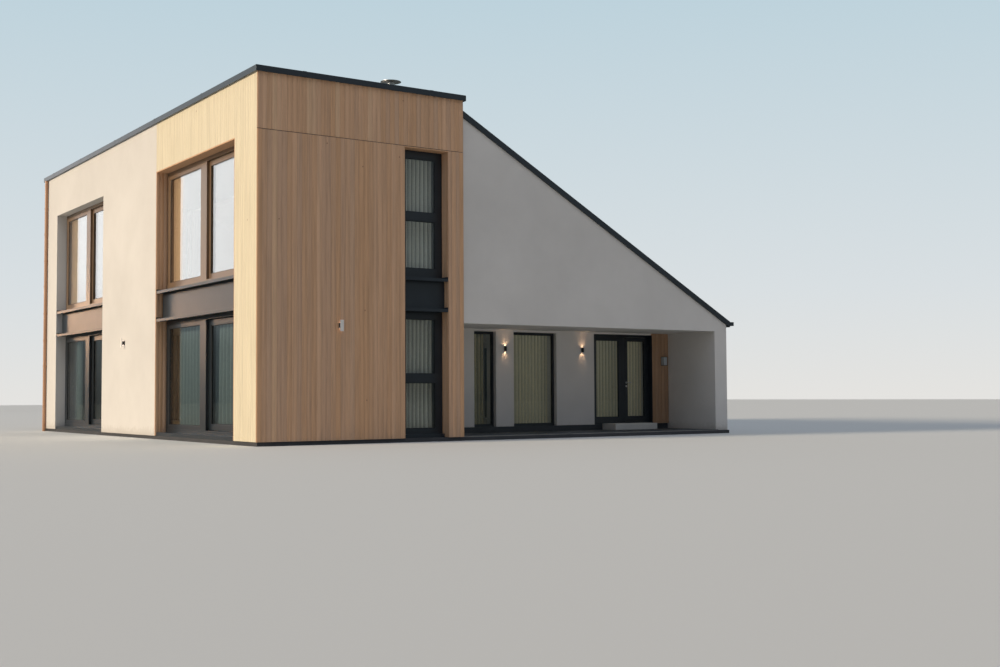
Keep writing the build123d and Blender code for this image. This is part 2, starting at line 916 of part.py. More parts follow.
def make_fixed_glass():
    inset = tall_frame_width
    setback = (sash_depth - glass_depth) / 2
    with BuildPart() as glass:
        for bay in (front_bay, rear_bay):
            near, post_near, post_far, far = bay_layout(bay)
            for foot, head in ((lower_foot, lower_head), (upper_foot, upper_head)):
                edge = frame_width + sash_width + bead_depth
                with BuildSketch(along(frame_inset + sash_step + setback)):
                    area(post_far + sash_width + bead_depth, far - sash_width - bead_depth,
                         foot + edge, head - edge)
                extrude(amount=glass_depth)
            edge = frame_width + leaf_rail
            with BuildSketch(along(frame_inset + post_depth + setback)):
                area(near + leaf_rail, post_near + leaf_lap - leaf_rail,
                     upper_foot + edge, upper_head - edge)
            extrude(amount=glass_depth)
        for y, _, _, *lights in slot_windows():
            edge = frame_width + sash_width
            with BuildSketch(across(y + setback)):
                for light in lights:
                    area(slot[0] + edge, slot[1] - edge, *light)
            extrude(amount=-glass_depth)
        for plane, way, near, far, foot, head in tall_windows():
            with BuildSketch(plane.offset(way * setback)):
                area(near + inset, far - inset, foot + inset, head - inset)
            extrude(amount=way * glass_depth)
        near, far, foot, head = entrance_side()
        with BuildSketch(across(porch_depth + entrance_inset + sash_step + setback)):
            area(near, far, foot, head)
        extrude(amount=-glass_depth)
    save(glass, "fixed_glass")


# Entrance

def entrance_side():
    """The fixed pane beside the door."""
    edge = entrance_frame_width + entrance_stile_width
    return (entrance[0] + edge, entrance_post[0] - entrance_stile_width,
            base_height + entrance_frame_width + entrance_rail, entrance_head - edge)


def make_entrance_frame():
    y = porch_depth + entrance_inset
    leaf_right = entrance[1] - entrance_frame_width - leaf_gap
    with BuildPart() as frame:
        with BuildSketch(across(y)):
            ring(*entrance, base_height, entrance_head, entrance_frame_width)
            area(*entrance_post, base_height + entrance_frame_width,
                 entrance_head - entrance_frame_width)
        extrude(amount=-(wall - frame_inset))
        near, far, foot, head = entrance_side()
        with BuildSketch(across(y + sash_step)):
            area(entrance[0] + entrance_frame_width, entrance_post[0],
                 base_height + entrance_frame_width, entrance_head - entrance_frame_width)
            area(near, far, foot, head, Mode.SUBTRACT)
        extrude(amount=-sash_depth)
        for z in hinge_heights():
            with BuildSketch(plan(z)):
                hinge_knuckle(leaf_right, y, 1)
            extrude(amount=hinge_length / 2)
    save(frame, "entrance_frame")


def hinge_heights():
    foot = base_height + entrance_frame_width
    height = entrance_head - base_height - 2 * entrance_frame_width
    return [foot + height * share - hinge_length / 2 for share in hinge_shares]


def hinge_knuckle(leaf_right, y, side):
    """Draws a knuckle in front of the joint and its plate on the frame (1) or on the leaf (-1)."""
    x = leaf_right + leaf_gap / 2
    with Locations((x, y - hinge_radius)):
        Circle(hinge_radius)
    start = x + side * leaf_gap
    end = x + side * hinge_leaf_width
    area(min(start, end), max(start, end), y - hinge_plate, y)
    area(min(x, start), max(x, start), y - hinge_radius - hinge_plate, y - hinge_radius)
    area(min(start, start + side * hinge_plate), max(start, start + side * hinge_plate),
         y - hinge_radius - hinge_plate, y)


def make_entrance_leaf():
    y = porch_depth + entrance_inset
    left = entrance_post[1] + leaf_gap
    right = entrance[1] - entrance_frame_width - leaf_gap
    foot = base_height + entrance_frame_width + leaf_gap
    head = entrance_head - entrance_frame_width - leaf_gap
    with BuildPart() as leaf:
        with BuildSketch(across(y)):
            area(left, right, foot, head)
            area(left + entrance_stile_width, right - entrance_stile_width,
                 foot + entrance_rail, head - entrance_stile_width, Mode.SUBTRACT)
        extrude(amount=-sash_depth)
        for z in hinge_heights():
            with BuildSketch(plan(z + hinge_length / 2 + seat_gap)):
                hinge_knuckle(right, y, -1)
            extrude(amount=hinge_length / 2 - seat_gap)
    save(leaf, "entrance_leaf")
    with BuildPart() as pane:
        with BuildSketch(across(y + (sash_depth - glass_depth) / 2)):
            area(left + entrance_stile_width, right - entrance_stile_width,
                 foot + entrance_rail, head - entrance_stile_width)
        extrude(amount=-glass_depth)
    save(pane, "entrance_leaf_glass")


# Wall lights

def plate_lamp(plane, at, foot, way):
    """An upright plate held off the wall by a bracket, standing off the plane by way."""
    stand_off = lamp_depth - lamp_plate
    with BuildSketch(plane) as bracket:
        area(at - bracket_width / 2, at + bracket_width / 2,
             foot + bracket_foot, foot + bracket_foot + bracket_height)
    extrude(bracket.sketch, amount=way * stand_off)
    with BuildSketch(plane.offset(way * stand_off)) as plate:
        area(at - lamp_width / 2, at + lamp_width / 2, foot, foot + lamp_height)
    extrude(plate.sketch, amount=way * lamp_plate)


def make_wall_lights():
    with BuildPart() as lights:
        plate_lamp(across(0), *front_lamp, 1)
        plate_lamp(along(0), left_lamp_y, left_lamp_foot, -1)
        for x in porch_lamps:
            with BuildSketch(plan(porch_lamp_foot)):
                with Locations((x, porch_depth - 2 * spot_radius)):
                    Circle(spot_radius)
                area(x - spot_radius / 2, x + spot_radius / 2,
                     porch_depth - 2 * spot_radius, porch_depth)
            extrude(amount=spot_height)
        x, z = door_lamp_x, door_lamp_foot
        with BuildSketch(across(porch_depth - cladding)):
            area(x - lamp_width, x + lamp_width, z, z + lamp_height)
        extrude(amount=lamp_depth)
    save(lights, "wall_lights")


# Curtains

def make_curtains():
    inner = wall + curtain_gap
    foot_gap = curtain_floor_gap
    lower = (ground_floor_level + foot_gap, upper_floor_underside - seat_gap)
    upper = (upper_floor_level + foot_gap, deck_underside - seat_gap)
    with BuildPart() as curtains:
        for bay, spans in ((front_bay, front_curtain_spans), (rear_bay, rear_curtain_spans)):
            width = bay[1] - bay[0]
            for (start, end), (foot, head) in zip(spans, (lower, upper)):
                with BuildSketch(along(inner)):
                    area(bay[0] + start * width, bay[0] + end * width, foot, head)
                extrude(amount=curtain_depth)
        for foot, head in (lower, upper):
            with BuildSketch(across(inner)):
                area(slot[0], strip_width - wall - curtain_floor_gap, foot, head)
            extrude(amount=-curtain_depth)
        for edges in (narrow_window, wide_window, entrance):
            with BuildSketch(across(porch_depth + inner)):
                area(*edges, *lower)
            extrude(amount=-curtain_depth)
    save(curtains, "curtains")


make_plinth()
make_ground_floor()
make_first_floor()
make_porch_floor()
make_porch_base()
make_entrance_step()
make_left_piers()
make_left_wall_top()
make_front_wall()
make_porch_side_wall()
make_gable_wall()
make_porch_wall()
make_porch_ceiling()
make_right_wall()
make_rear_walls()
make_roof_beam()
make_flat_roof()
make_pitched_roof()
make_roof_covering()
make_verge_trims()
make_coping()
make_gutter()
make_downpipes()
make_flue()
make_chimney()
make_front_cladding()
make_left_cladding()
make_porch_cladding()
make_ledges()
make_panels()
make_bay_frames()
make_bay_sashes()
make_sliding_leaf(front_bay, "front_bay_leaf")
make_sliding_leaf(rear_bay, "rear_bay_leaf")
make_slot_frames()
make_tall_frames()
make_fixed_glass()
make_entrance_frame()
make_entrance_leaf()
make_wall_lights()
make_curtains()
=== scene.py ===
# %% [markdown]
# # A detached house with timber boards, white render and tall bays
#
# The exact solids of this house come from a CAD model. This lesson loads them as a frame that
# never moves, and dresses them: real boards instead of flat panels, folded cloth instead of
# blocks, gaskets round the panes, seams on the roof, and a finish for every surface.

# %% Load the frame
import bmesh
import bpy
import json
from math import cos, pi, radians, sin
from mathutils import Matrix, Vector, noise

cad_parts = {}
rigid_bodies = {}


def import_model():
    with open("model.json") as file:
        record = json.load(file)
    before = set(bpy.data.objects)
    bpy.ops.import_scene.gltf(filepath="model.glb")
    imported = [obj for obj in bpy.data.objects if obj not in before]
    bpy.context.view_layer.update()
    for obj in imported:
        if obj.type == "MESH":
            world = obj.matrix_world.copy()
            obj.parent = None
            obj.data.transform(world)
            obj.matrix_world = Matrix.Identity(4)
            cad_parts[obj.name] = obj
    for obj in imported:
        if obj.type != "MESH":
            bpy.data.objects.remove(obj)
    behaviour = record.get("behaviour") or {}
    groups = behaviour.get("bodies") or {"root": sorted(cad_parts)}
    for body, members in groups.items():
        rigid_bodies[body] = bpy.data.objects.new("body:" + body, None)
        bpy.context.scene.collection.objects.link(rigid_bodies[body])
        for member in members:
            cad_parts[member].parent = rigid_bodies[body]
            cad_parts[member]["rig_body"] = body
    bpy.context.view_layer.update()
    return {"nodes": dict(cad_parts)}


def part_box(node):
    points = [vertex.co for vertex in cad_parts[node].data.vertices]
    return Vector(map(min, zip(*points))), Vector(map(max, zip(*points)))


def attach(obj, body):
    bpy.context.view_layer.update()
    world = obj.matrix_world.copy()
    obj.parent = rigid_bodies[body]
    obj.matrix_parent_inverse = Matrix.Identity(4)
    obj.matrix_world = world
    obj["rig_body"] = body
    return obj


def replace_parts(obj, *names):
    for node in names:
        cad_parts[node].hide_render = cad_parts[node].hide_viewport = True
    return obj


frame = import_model()
scene = bpy.context.scene

# %% [markdown]
# ## Where things are
#
# Sizes are easiest to read from the house's front left corner: x runs to the right, y to the
# rear and z up from the ground, all in metres. One small function turns such a place into the
# frame's own coordinates, and another gives the two corners of a block from its spans. The
# corner itself is read from a CAD box, so the two can't drift apart. A third function adds
# whatever is made to the scene.

# %% Places in the house
LEFT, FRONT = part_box("front_cladding_lower")[0].xy


def place(x, y, z):
    return Vector((LEFT + x, FRONT + y, z))


def block(x, y, z):
    """The low and the high corner of a block that spans x, y and z."""
    return place(x[0], y[0], z[0]), place(x[1], y[1], z[1])


def show(name, data):
    """Adds an object with this data to the scene."""
    thing = bpy.data.objects.new(name, data)
    scene.collection.objects.link(thing)
    return thing


STRIP = 4.8                                            # width of the two-storey block
FRONT_BAY, REAR_BAY = (1.16, 5.84), (9.94, 14.32)      # along the left face
SLOT, DOOR = (3.34, 4.41), (9.87, 11.75)               # slim window and entrance, along the front
HEAD, JOINT, BOARD_TOP = 6.23, 6.252, 7.44             # window heads, level joint, top of boards
PORCH_WALL, PORCH_FOOT, SOFFIT = 1.9, 0.235, 2.545     # the porch's back wall, its foot and top
print("front left corner at", round(LEFT, 3), round(FRONT, 3))

# %% [markdown]
# ## The camera
#
# The level edges in the view run towards two far points, and those fix the lens and the
# direction. The camera stands a metre over the ground, in front of the house and to its left.
# Three plain turns are easier to check than Euler angles: yaw to the right, a slight look
# upwards, and a very small roll.

# %% Camera
YAW, LOOK_UP, ROLL = (radians(angle) for angle in (-34.122, 92.772, -0.317))
view = scene.camera = show("view", bpy.data.cameras.new("view"))
view.data.lens, view.data.sensor_width, view.data.clip_end = 46.0, 36.0, 500
view.matrix_world = (Matrix.Translation((-16.449, -31.065, 0.972)) @ Matrix.Rotation(YAW, 4, "Z")
                     @ Matrix.Rotation(LOOK_UP, 4, "X") @ Matrix.Rotation(ROLL, 4, "Z"))
print("camera", [round(v, 2) for v in view.location])

# %% [markdown]
# ## Small tools for materials
#
# Colours are written as the hex values that a screen shows, and one function turns them into
# the linear numbers that Blender works with. One other function adds a node, so that each
# material below reads as a short recipe. What it is given fills the inputs in their order, as
# in a Map Range: the value, where it comes from, low and high, and where it goes to. A word
# with a capital letter names an input, and a word without one is a setting. Some nodes keep
# sockets for kinds of data that they don't use just now, so only sockets in use count.

# %% Colours and nodes
def colour(code):
    """An sRGB hex colour as linear red, green, blue and alpha."""
    parts = [int(code[i:i + 2], 16) / 255 for i in (1, 3, 5)]
    return [v / 12.92 if v <= 0.04045 else ((v + 0.055) / 1.055) ** 2.4 for v in parts] + [1.0]


def plug(node, *values, **inputs):
    """Fills inputs in their order or by name, and links those that get a socket or a node."""
    used = [socket for socket in node.inputs if socket.enabled]
    pairs = list(zip(used, values))
    for name, value in inputs.items():
        pairs.append((next(socket for socket in used if socket.name == name.replace("_", " ")), value))
    for socket, value in pairs:
        if isinstance(value, bpy.types.Node):
            value = next(output for output in value.outputs if output.enabled)
        if isinstance(value, bpy.types.NodeSocket):
            node.id_data.links.new(value, socket)
        else:
            hex_code = isinstance(value, str) and value.startswith("#")
            socket.default_value = colour(value) if hex_code else value


def add(tree, kind, *values, **named):
    """Adds one node with its settings, then fills its inputs; the kind is short for shaders."""
    node = tree.nodes.new(kind if "Node" in kind else "ShaderNode" + kind)
    for name, value in named.items():
        if name[0].islower():
            setattr(node, name, value)
    plug(node, *values, **{name: value for name, value in named.items() if name[0].isupper()})
    return node


def finish(name, **plain):
    """A new material with one Principled shader whose plain sockets are set."""
    material = bpy.data.materials.new(name)
    material.use_nodes = True
    shader = material.node_tree.nodes["Principled BSDF"]
    plug(shader, **plain)
    return material, material.node_tree, shader


print("half bright on the screen is", round(colour("#808080")[0], 3), "of the light")

# %% [markdown]
# ## The world behind the house
#
# The camera sees a pale background, and the house is lit by a weaker, even and cool fill.
# Reflections get a third picture: dark along the horizon and behind the camera, like a studio
# with black flags, so that the low panes stay clear enough to look through.

# %% World
scene.world = scene.world or bpy.data.worlds.new("studio")
scene.world.use_nodes = True
tree = scene.world.node_tree
tree.nodes.clear()
rays = add(tree, "LightPath").outputs
direction = add(tree, "TexCoord").outputs["Generated"]
direction = add(tree, "SeparateXYZ", direction).outputs


def sky(*stops):
    """A background whose colour follows how high the view looks, from heights and colours."""
    ramp = add(tree, "ValToRGB", direction["Z"])
    marks = ramp.color_ramp.elements
    for at, code in stops[1:-1]:
        marks.new(at).color = colour(code)
    for end in (0, -1):
        marks[end].position, marks[end].color = stops[end][0], colour(stops[end][1])
    return add(tree, "Background", ramp)


fill = add(tree, "Background", "#dfe9fa", 0.272)
backdrop = sky((0.0, "#e4e3e0"), (0.08, "#d9dfe2"), (0.3, "#bdd2dc"), (0.7, "#adc6d2"))
mirrored = sky((0.0, "#54595a"), (0.04, "#6c7578"), (0.09, "#cfdade"), (0.3, "#d3dee4"),
               (0.7, "#bdd1dc"))
flags = add(tree, "Background", "#3c4448")
ahead = add(tree, "MapRange", direction["Y"], -0.9, 0.3, 0.4)
mirrored = add(tree, "MixShader", ahead, flags, mirrored)
shiny = add(tree, "Math", rays["Is Glossy Ray"], rays["Is Transmission Ray"], operation="MAXIMUM")
unseen = add(tree, "MixShader", shiny, fill, mirrored)
shown = add(tree, "MixShader", rays["Is Camera Ray"], unseen, backdrop)
add(tree, "OutputWorld", shown)
print("world", len(tree.nodes), "nodes")

# %% [markdown]
# ## Lamps and floor
#
# One broad warm light falls nearly square on the side with the tall bays, and a weak cool one
# comes from high in front, so that the two faces tell apart and the soffit keeps the porch in
# shade. Sun lamps are even everywhere, and their wide angle gives soft shadows. Two boxes
# stand far off and light hardly anything: the upper panes mirror the large one, and the metal
# panels the low warm one, whose narrow spread keeps it off the floor. The floor is pale, and
# darker only in reflections.

# %% Lamps and floor
def lamp(name, kind, power, code, spot, towards, **settings):
    """One lamp at a spot, shining towards a direction."""
    light = bpy.data.lights.new(name, kind)
    light.energy, light.color = power, colour(code)[:3]
    for key, value in settings.items():
        setattr(light, key, value)
    holder = show(name, light)
    aim = Vector(towards).to_track_quat("-Z", "Y").to_matrix().to_4x4()
    holder.matrix_world = Matrix.Translation(spot) @ aim
    holder.visible_camera = False


ABOVE, FLOOR_REACH = (0, 0, 20), 150
lamp("side_light", "SUN", 3.25, "#ffebcf", ABOVE, (0.94, -0.13, -0.3), angle=radians(9))
lamp("front_fill", "SUN", 0.53, "#edf2ff", ABOVE, (0.4, 1.0, -1.8), angle=radians(35))
lamp("soft_box", "AREA", 800, "#fbf1ee", (-25, 57, 13.5), (0.33, -0.94, -0.12),
     shape="RECTANGLE", size=18, size_y=13)
lamp("low_glow", "AREA", 70, "#ffc795", (-21.5, 57.5, 6.3), (0.3, -0.95, 0.0),
     shape="RECTANGLE", size=9, size_y=1.9, spread=radians(50))

floor_finish, tree, shader = finish("pale_floor", Roughness=0.9)
glossy = add(tree, "LightPath").outputs["Is Glossy Ray"]
plug(shader, Base_Color=add(tree, "Mix", glossy, "#dcddda", "#50554e", data_type="RGBA"))
floor_mesh = bpy.data.meshes.new("floor")
floor_mesh.from_pydata([(x * FLOOR_REACH, y * FLOOR_REACH, -0.001)
                        for x, y in ((-1, -1), (1, -1), (1, 1), (-1, 1))], [], [(0, 1, 2, 3)])
floor_mesh.materials.append(floor_finish)
show("floor", floor_mesh)

# %% [markdown]
# ## Timber: oiled softwood boards
#
# The boards are narrow oiled softwood, and each one came from another tree, so each has its own tone, a
# number which the geometry stores on it. A second number is painted light: where it is high, on the sunlit
# left face, the boards are mixed towards a pale grey tone, as the low sun's glare makes them look. Boards in
# the shaded porch get a deeper tone, which is painted shade. Long streaks run along a board, and about once
# in five square metres sits a small knot. To the eye the oil is a dull sheen, and the changing tones make the
# wall read as single boards.

# %% Boards
GRAIN = (0.007, 0.007, 0.35)      # 7 mm wide, coarser than the real 2 mm, so that it shows
STREAK = (0.04, 0.04, 1.6)


def board_finish(name, depth):
    """Oiled boards; depth scales the tone down as painted shade, 1 for boards in the open."""
    material, tree, shader = finish(name, Roughness=0.68, Specular_IOR_Level=0.35)
    where = add(tree, "TexCoord").outputs["Object"]
    tone = add(tree, "Attribute", attribute_name="tone").outputs["Fac"]
    # The second attribute is painted glare, the low sun's paleness on the left face.
    painted_glare = add(tree, "Attribute", attribute_name="painted_glare").outputs["Fac"]

    # Every board takes its grain from another part of the pattern.
    shifted = add(tree, "CombineXYZ", tone, tone, tone)
    shifted = add(tree, "VectorMath", shifted, (3.0, 3.0, 40.0), operation="MULTIPLY")
    shifted = add(tree, "VectorMath", where, shifted, operation="ADD")
    fine, broad = (add(tree, "Mapping", shifted, Scale=[1 / v for v in size])
                   for size in (GRAIN, STREAK))
    grain = add(tree, "TexNoise", fine, Scale=1.0, Detail=3.0, Roughness=0.55)
    streak = add(tree, "TexNoise", broad, Scale=1.0, Detail=2.0)

    ramp = add(tree, "ValToRGB", tone)
    stops = ramp.color_ramp.elements
    stops[0].color, stops[1].color = colour("#cba17d"), colour("#dab48f")
    for at, code in ((0.2, "#d6ae8c"), (0.4, "#c8a180"), (0.6, "#cea37d"), (0.8, "#c6a285")):
        stops.new(at).color = colour(code)
    # Painted glare: the sunlit boards are mixed towards this pale grey tone.
    oiled = add(tree, "Mix", painted_glare, ramp, "#dbd3b9", data_type="RGBA")
    # A depth under 1 darkens every board as painted shade.
    dim = add(tree, "MapRange", streak, 0.32, 0.6, 0.86 * depth, 1.03 * depth)
    grained = add(tree, "MapRange", grain, 0.3, 0.7, 0.93, 1.05)
    shade = add(tree, "Math", dim, grained, operation="MULTIPLY")
    tinted = add(tree, "VectorMath", oiled, shade, operation="SCALE")

    # Knots lie on the face of the wall, in cells of 0.9 by 1.3 m. Three in four cells have none.
    axes = add(tree, "SeparateXYZ", where).outputs
    across = add(tree, "Math", axes["X"], axes["Y"], operation="ADD")
    flat = add(tree, "CombineXYZ", across, axes["Z"])
    cells = add(tree, "Mapping", flat, Scale=(1 / 0.9, 1 / 1.3, 1.0))
    knots = add(tree, "TexVoronoi", cells, Scale=1.0, voronoi_dimensions="2D").outputs
    chance = add(tree, "SeparateColor", knots["Color"])
    empty = add(tree, "Math", chance, 0.75, operation="LESS_THAN")
    clear = add(tree, "MapRange", knots["Distance"], 0.006, 0.016)
    clear = add(tree, "Math", clear, empty, operation="MAXIMUM")
    wood = add(tree, "Mix", clear, "#7d5940", tinted, data_type="RGBA")
    relief = add(tree, "Bump", Height=grain, Distance=0.0008, Strength=0.6)
    plug(shader, Base_Color=wood, Normal=relief)
    return material


boards = board_finish("oiled_softwood_boards", 1.0)
shaded_porch_wood = board_finish("porch_boards_painted_shade", 0.62)     # deeper tone as painted shade for the shaded porch
print("board finishes", boards.name, shaded_porch_wood.name)

# %% [markdown]
# ## Walls: felt-floated mineral render, painted
#
# The render was rubbed smooth with a felt float, which leaves a grain of about three
# millimetres, and soft clouds where the paint took differently. To the eye it is chalky, with
# no glint at all. Rain throws a little soil at the foot of every wall, and the height above
# the ground places it.

# %% Render
wall_render, tree, shader = finish("felt_floated_render", Roughness=0.86, Specular_IOR_Level=0.3)
where = add(tree, "TexCoord").outputs["Object"]
height = add(tree, "SeparateXYZ", where).outputs["Z"]
grit = add(tree, "TexNoise", where, Scale=320.0, Detail=2.0)
clouds = add(tree, "TexNoise", where, Scale=0.55, Detail=4.0, Roughness=0.6)
clouds = add(tree, "MapRange", clouds, 0.3, 0.7)
paint = add(tree, "Mix", clouds, "#cbc8c3", "#d5d2cd", data_type="RGBA")
speck = add(tree, "TexNoise", where, Scale=9.0, Detail=5.0, Roughness=0.7)
reach = add(tree, "Math", speck, 0.55, operation="MULTIPLY")
soil = add(tree, "MapRange", height, 0.08, reach, 0.45, 0.0)
soiled = add(tree, "Mix", soil, paint, "#9d968b", data_type="RGBA")
relief = add(tree, "Bump", Height=grit, Distance=0.0006, Strength=0.5)
plug(shader, Base_Color=soiled, Normal=relief)
print("render", len(tree.nodes), "nodes")

# %% [markdown]
# ## Coated metal: sheet, frames and pipes
#
# Copings, ledges and gutters are folded from steel sheet with a smooth satin coat. The window frames are
# aluminium sections with a powder coat, which has a fine pebbled skin. Both are anthracite, a blue-black. The
# upper frames of the tall bays are tinted bronze instead, which is painted sunlight: it stands for the low
# sun's warm glints on the same anthracite coat. Their sashes share one solid with the frames downstairs, so
# the colour changes back to the real anthracite below the upper storey. The rain pipes are copper brown. Dust
# makes every coat a little paler and rougher in patches.

# %% Coated metal
def coated(name, code, dusty, roughness, grain_size, depth, downstairs=None):
    """A coat that dust lightens, with bumps grain_size wide; downstairs is its colour low down."""
    material, tree, shader = finish(name, Coat_Weight=0.45, Coat_Roughness=0.3, Specular_IOR_Level=0.4)
    where = add(tree, "TexCoord").outputs["Object"]
    dust = add(tree, "TexNoise", where, Scale=1.7, Detail=6.0, Roughness=0.65)
    amount = add(tree, "MapRange", dust, 0.35, 0.75)
    shade = add(tree, "Mix", amount, code, dusty, data_type="RGBA")
    # The upper bay coat's painted sunlight gives way to its real anthracite low down.
    if downstairs:
        height = add(tree, "SeparateXYZ", where).outputs["Z"]
        upstairs = add(tree, "MapRange", height, 2.9, 3.4)
        shade = add(tree, "Mix", upstairs, downstairs, shade, data_type="RGBA")
    dull = add(tree, "MapRange", dust, To_Min=roughness - 0.08, To_Max=roughness + 0.12)
    skin = add(tree, "TexNoise", where, Scale=1 / grain_size, Detail=1.0)
    relief = add(tree, "Bump", Height=skin, Distance=depth, Strength=0.4)
    plug(shader, Base_Color=shade, Roughness=dull, Normal=relief)
    return material


SHEET_WAVES, POWDER_SKIN = (0.35, 0.0012), (0.004, 0.0003)     # width and depth of the bumps
# Satin sheet: broad soft glints that the slow waves of the rolling bend a little.
folded_sheet = coated("coated_steel_sheet", "#161f28", "#222b33", 0.4, *SHEET_WAVES)
# Powder coat: the pebbles blur each glint, so the frames look softer than the sheet.
frame_coat = coated("powder_coated_aluminium", "#141c24", "#1f272e", 0.38, *POWDER_SKIN)
# Painted sunlight: the upper bay frames are anthracite, tinted bronze for the low sun's warm glints.
sun_painted_frame_coat = coated("frame_coat_painted_sun", "#6d5641", "#78624d", 0.38, *POWDER_SKIN,
                     downstairs="#161e26")
# A brown coat like weathered copper, warm against the white wall, and the lamps' two plain ones.
pipe_coat = coated("copper_brown_coat", "#ac8060", "#b98f70", 0.42, *SHEET_WAVES)
white_coat = coated("white_powder_coat", "#e4e2de", "#d8d5d0", 0.4, *POWDER_SKIN)
black_coat = coated("black_powder_coat", "#15171a", "#22262a", 0.4, *POWDER_SKIN)
print("coats", sum("coat" in material.name for material in bpy.data.materials))

# %% [markdown]
# ## Glass
#
# A sealed unit mirrors a little when seen head-on and much more from the side: the mirrored
# share is its head-on value, plus the rest times the fifth power of how far the view leans.
# Layer Weight's Facing gives that lean and treats both sides of a pane alike, which the
# Fresnel node doesn't. The rest passes through a faint tint, once for each side of each pane,
# so it has to be nearly white. The upper panes of the tall bays carry a solar-control coat,
# which mirrors over a quarter.

# %% Panes
def pane_material(name, head_on, tint):
    """Glass whose mirrored share starts at head_on, on each side of the pane."""
    material = bpy.data.materials.new(name)
    material.use_nodes = True
    tree = material.node_tree
    tree.nodes.clear()
    lean = add(tree, "LayerWeight", Blend=0.5).outputs["Facing"]
    steep = add(tree, "Math", lean, 5.0, operation="POWER")
    share = add(tree, "MapRange", steep, To_Min=head_on)
    clear = add(tree, "BsdfTransparent", tint)
    mirror = add(tree, "BsdfGlossy", "#f0f3f4", 0.0)
    both = add(tree, "MixShader", share, clear, mirror)
    add(tree, "OutputMaterial", both)
    return material


pane_glass = pane_material("float_glass_unit", 0.05, "#f8fbfa")           # clear, faintly green
coated_glass = pane_material("solar_control_glass", 0.28, "#faf9f6")      # a bright mirror
print("glass", pane_glass.name, coated_glass.name)

# %% [markdown]
# ## Stone, concrete, rubber and steel
#
# The plinth and the slabs are cast concrete, open-pored and grey. The porch is paved with
# honed slate, the step is pale cast stone, and the flue is brushed stainless steel. One
# recipe serves the mineral ones: two tones mixed by a cloudy noise, fine specks, and relief.

# %% Mineral finishes
def mineral(name, low, high, roughness, speck_size, depth):
    """Two tones in clouds, with specks of speck_size and relief of the same grain."""
    material, tree, shader = finish(name, Roughness=roughness)
    where = add(tree, "TexCoord").outputs["Object"]
    clouds = add(tree, "TexNoise", where, Scale=2.4, Detail=6.0, Roughness=0.65)
    grit = add(tree, "TexNoise", where, Scale=1 / speck_size, Detail=3.0)
    share = add(tree, "Math", clouds, grit, 0.12, operation="MULTIPLY_ADD")
    share = add(tree, "MapRange", share, 0.2, 0.55)
    shade = add(tree, "Mix", share, low, high, data_type="RGBA")
    relief = add(tree, "Bump", Height=grit, Distance=depth, Strength=0.5)
    plug(shader, Base_Color=shade, Normal=relief)
    return material


# Concrete and plaster are dead matt, and cast stone is closer and paler.
cast_concrete = mineral("cast_concrete", "#6f6d69", "#96938d", 0.9, 0.006, 0.0015)
plaster = mineral("white_plaster", "#dcdad6", "#e6e4e0", 0.9, 0.004, 0.0003)
cast_stone = mineral("pale_cast_stone", "#b3b2ad", "#c4c2bc", 0.75, 0.003, 0.0006)
# Honing leaves slate a dark sheen, and a sealer makes the plinth an even dark band.
slate = mineral("honed_slate", "#23272b", "#3a3f44", 0.55, 0.02, 0.0008)
plinth_coat = mineral("sealed_plinth", "#333436", "#47474a", 0.8, 0.006, 0.001)
# The pot is dry orange clay, and the membrane a grey skin with a pressed grain.
fired_clay = mineral("fired_clay", "#8a5138", "#a9694c", 0.8, 0.005, 0.0008)
membrane = mineral("roof_membrane", "#43474a", "#565a5c", 0.8, 0.012, 0.001)
# Sand-blasted glass scatters light like fine frost.
frosted = mineral("frosted_glass", "#a8aeb0", "#babfc0", 0.55, 0.002, 0.0002)

# Brushing runs round the flue in lines 1.4 mm high, which draw each glint out upwards.
steel, tree, shader = finish("brushed_stainless_steel", Metallic=1.0, Base_Color="#c3c4c3")
where = add(tree, "TexCoord").outputs["Object"]
rings = add(tree, "Mapping", where, Scale=(4.0, 4.0, 700.0))
brushed = add(tree, "TexNoise", rings, Scale=1.0, Detail=2.0)
plug(shader, Roughness=add(tree, "MapRange", brushed, To_Min=0.22, To_Max=0.42))

# Rubber swallows the light and leaves a black line round each pane.
gasket_rubber, tree, shader = finish("epdm_gasket", Roughness=0.7, Base_Color="#101214")
where = add(tree, "TexCoord").outputs["Object"]
skin = add(tree, "TexNoise", where, Scale=400.0)
plug(shader, Normal=add(tree, "Bump", Height=skin, Distance=0.0002))
print("finishes so far", len(bpy.data.materials))

# %% [markdown]
# ## Inside: an oak floor
#
# Through the panes one sees a little of the rooms. A brick pattern lays waxed oak strips with
# staggered ends on the slabs, warm and softly shiny to the eye, and underneath they are white
# plaster. The height of a point tells the two apart, because each slab has one level top.

# %% Oak floor
def oak_over(top):
    """Oak strips on a slab whose top is at that height, and plaster below it."""
    material, tree, shader = finish("oak_strip_floor_" + str(int(top * 100)), Roughness=0.4)
    where = add(tree, "TexCoord").outputs["Object"]
    turned = add(tree, "Mapping", where, Rotation=(0, 0, pi / 2))
    strips = add(tree, "TexBrick", turned, Scale=1.0, Brick_Width=1.8, Row_Height=0.16, Mortar_Size=0.002,
                 Color1="#a98a66", Color2="#94754f", Mortar="#4a3a28")
    streaks = add(tree, "Mapping", where, Scale=(90.0, 3.0, 90.0))
    grain = add(tree, "TexNoise", streaks, Scale=1.0, Detail=3.0)
    light = add(tree, "MapRange", grain, To_Min=0.8, To_Max=1.15)
    oak = add(tree, "VectorMath", strips, light, operation="SCALE")
    height = add(tree, "SeparateXYZ", where).outputs["Z"]
    upper = add(tree, "Math", height, top - 0.002, operation="GREATER_THAN")
    plug(shader, Base_Color=add(tree, "Mix", upper, "#e0deda", oak, data_type="RGBA"))
    return material


lower_oak, upper_oak = oak_over(0.26), oak_over(3.18)
print("floors", lower_oak.name, upper_oak.name)

# %% [markdown]
# ## Finishes for the solids that keep their shape
#
# Walls, slabs and panes are already the right shape, so they only get a material. A CAD mesh
# is never edited. Its material slots are cleared and filled again.

# %% Assign finishes
def give(mesh, material):
    """Makes one material the only one of a mesh."""
    mesh.materials.clear()
    mesh.materials.append(material)
    return mesh


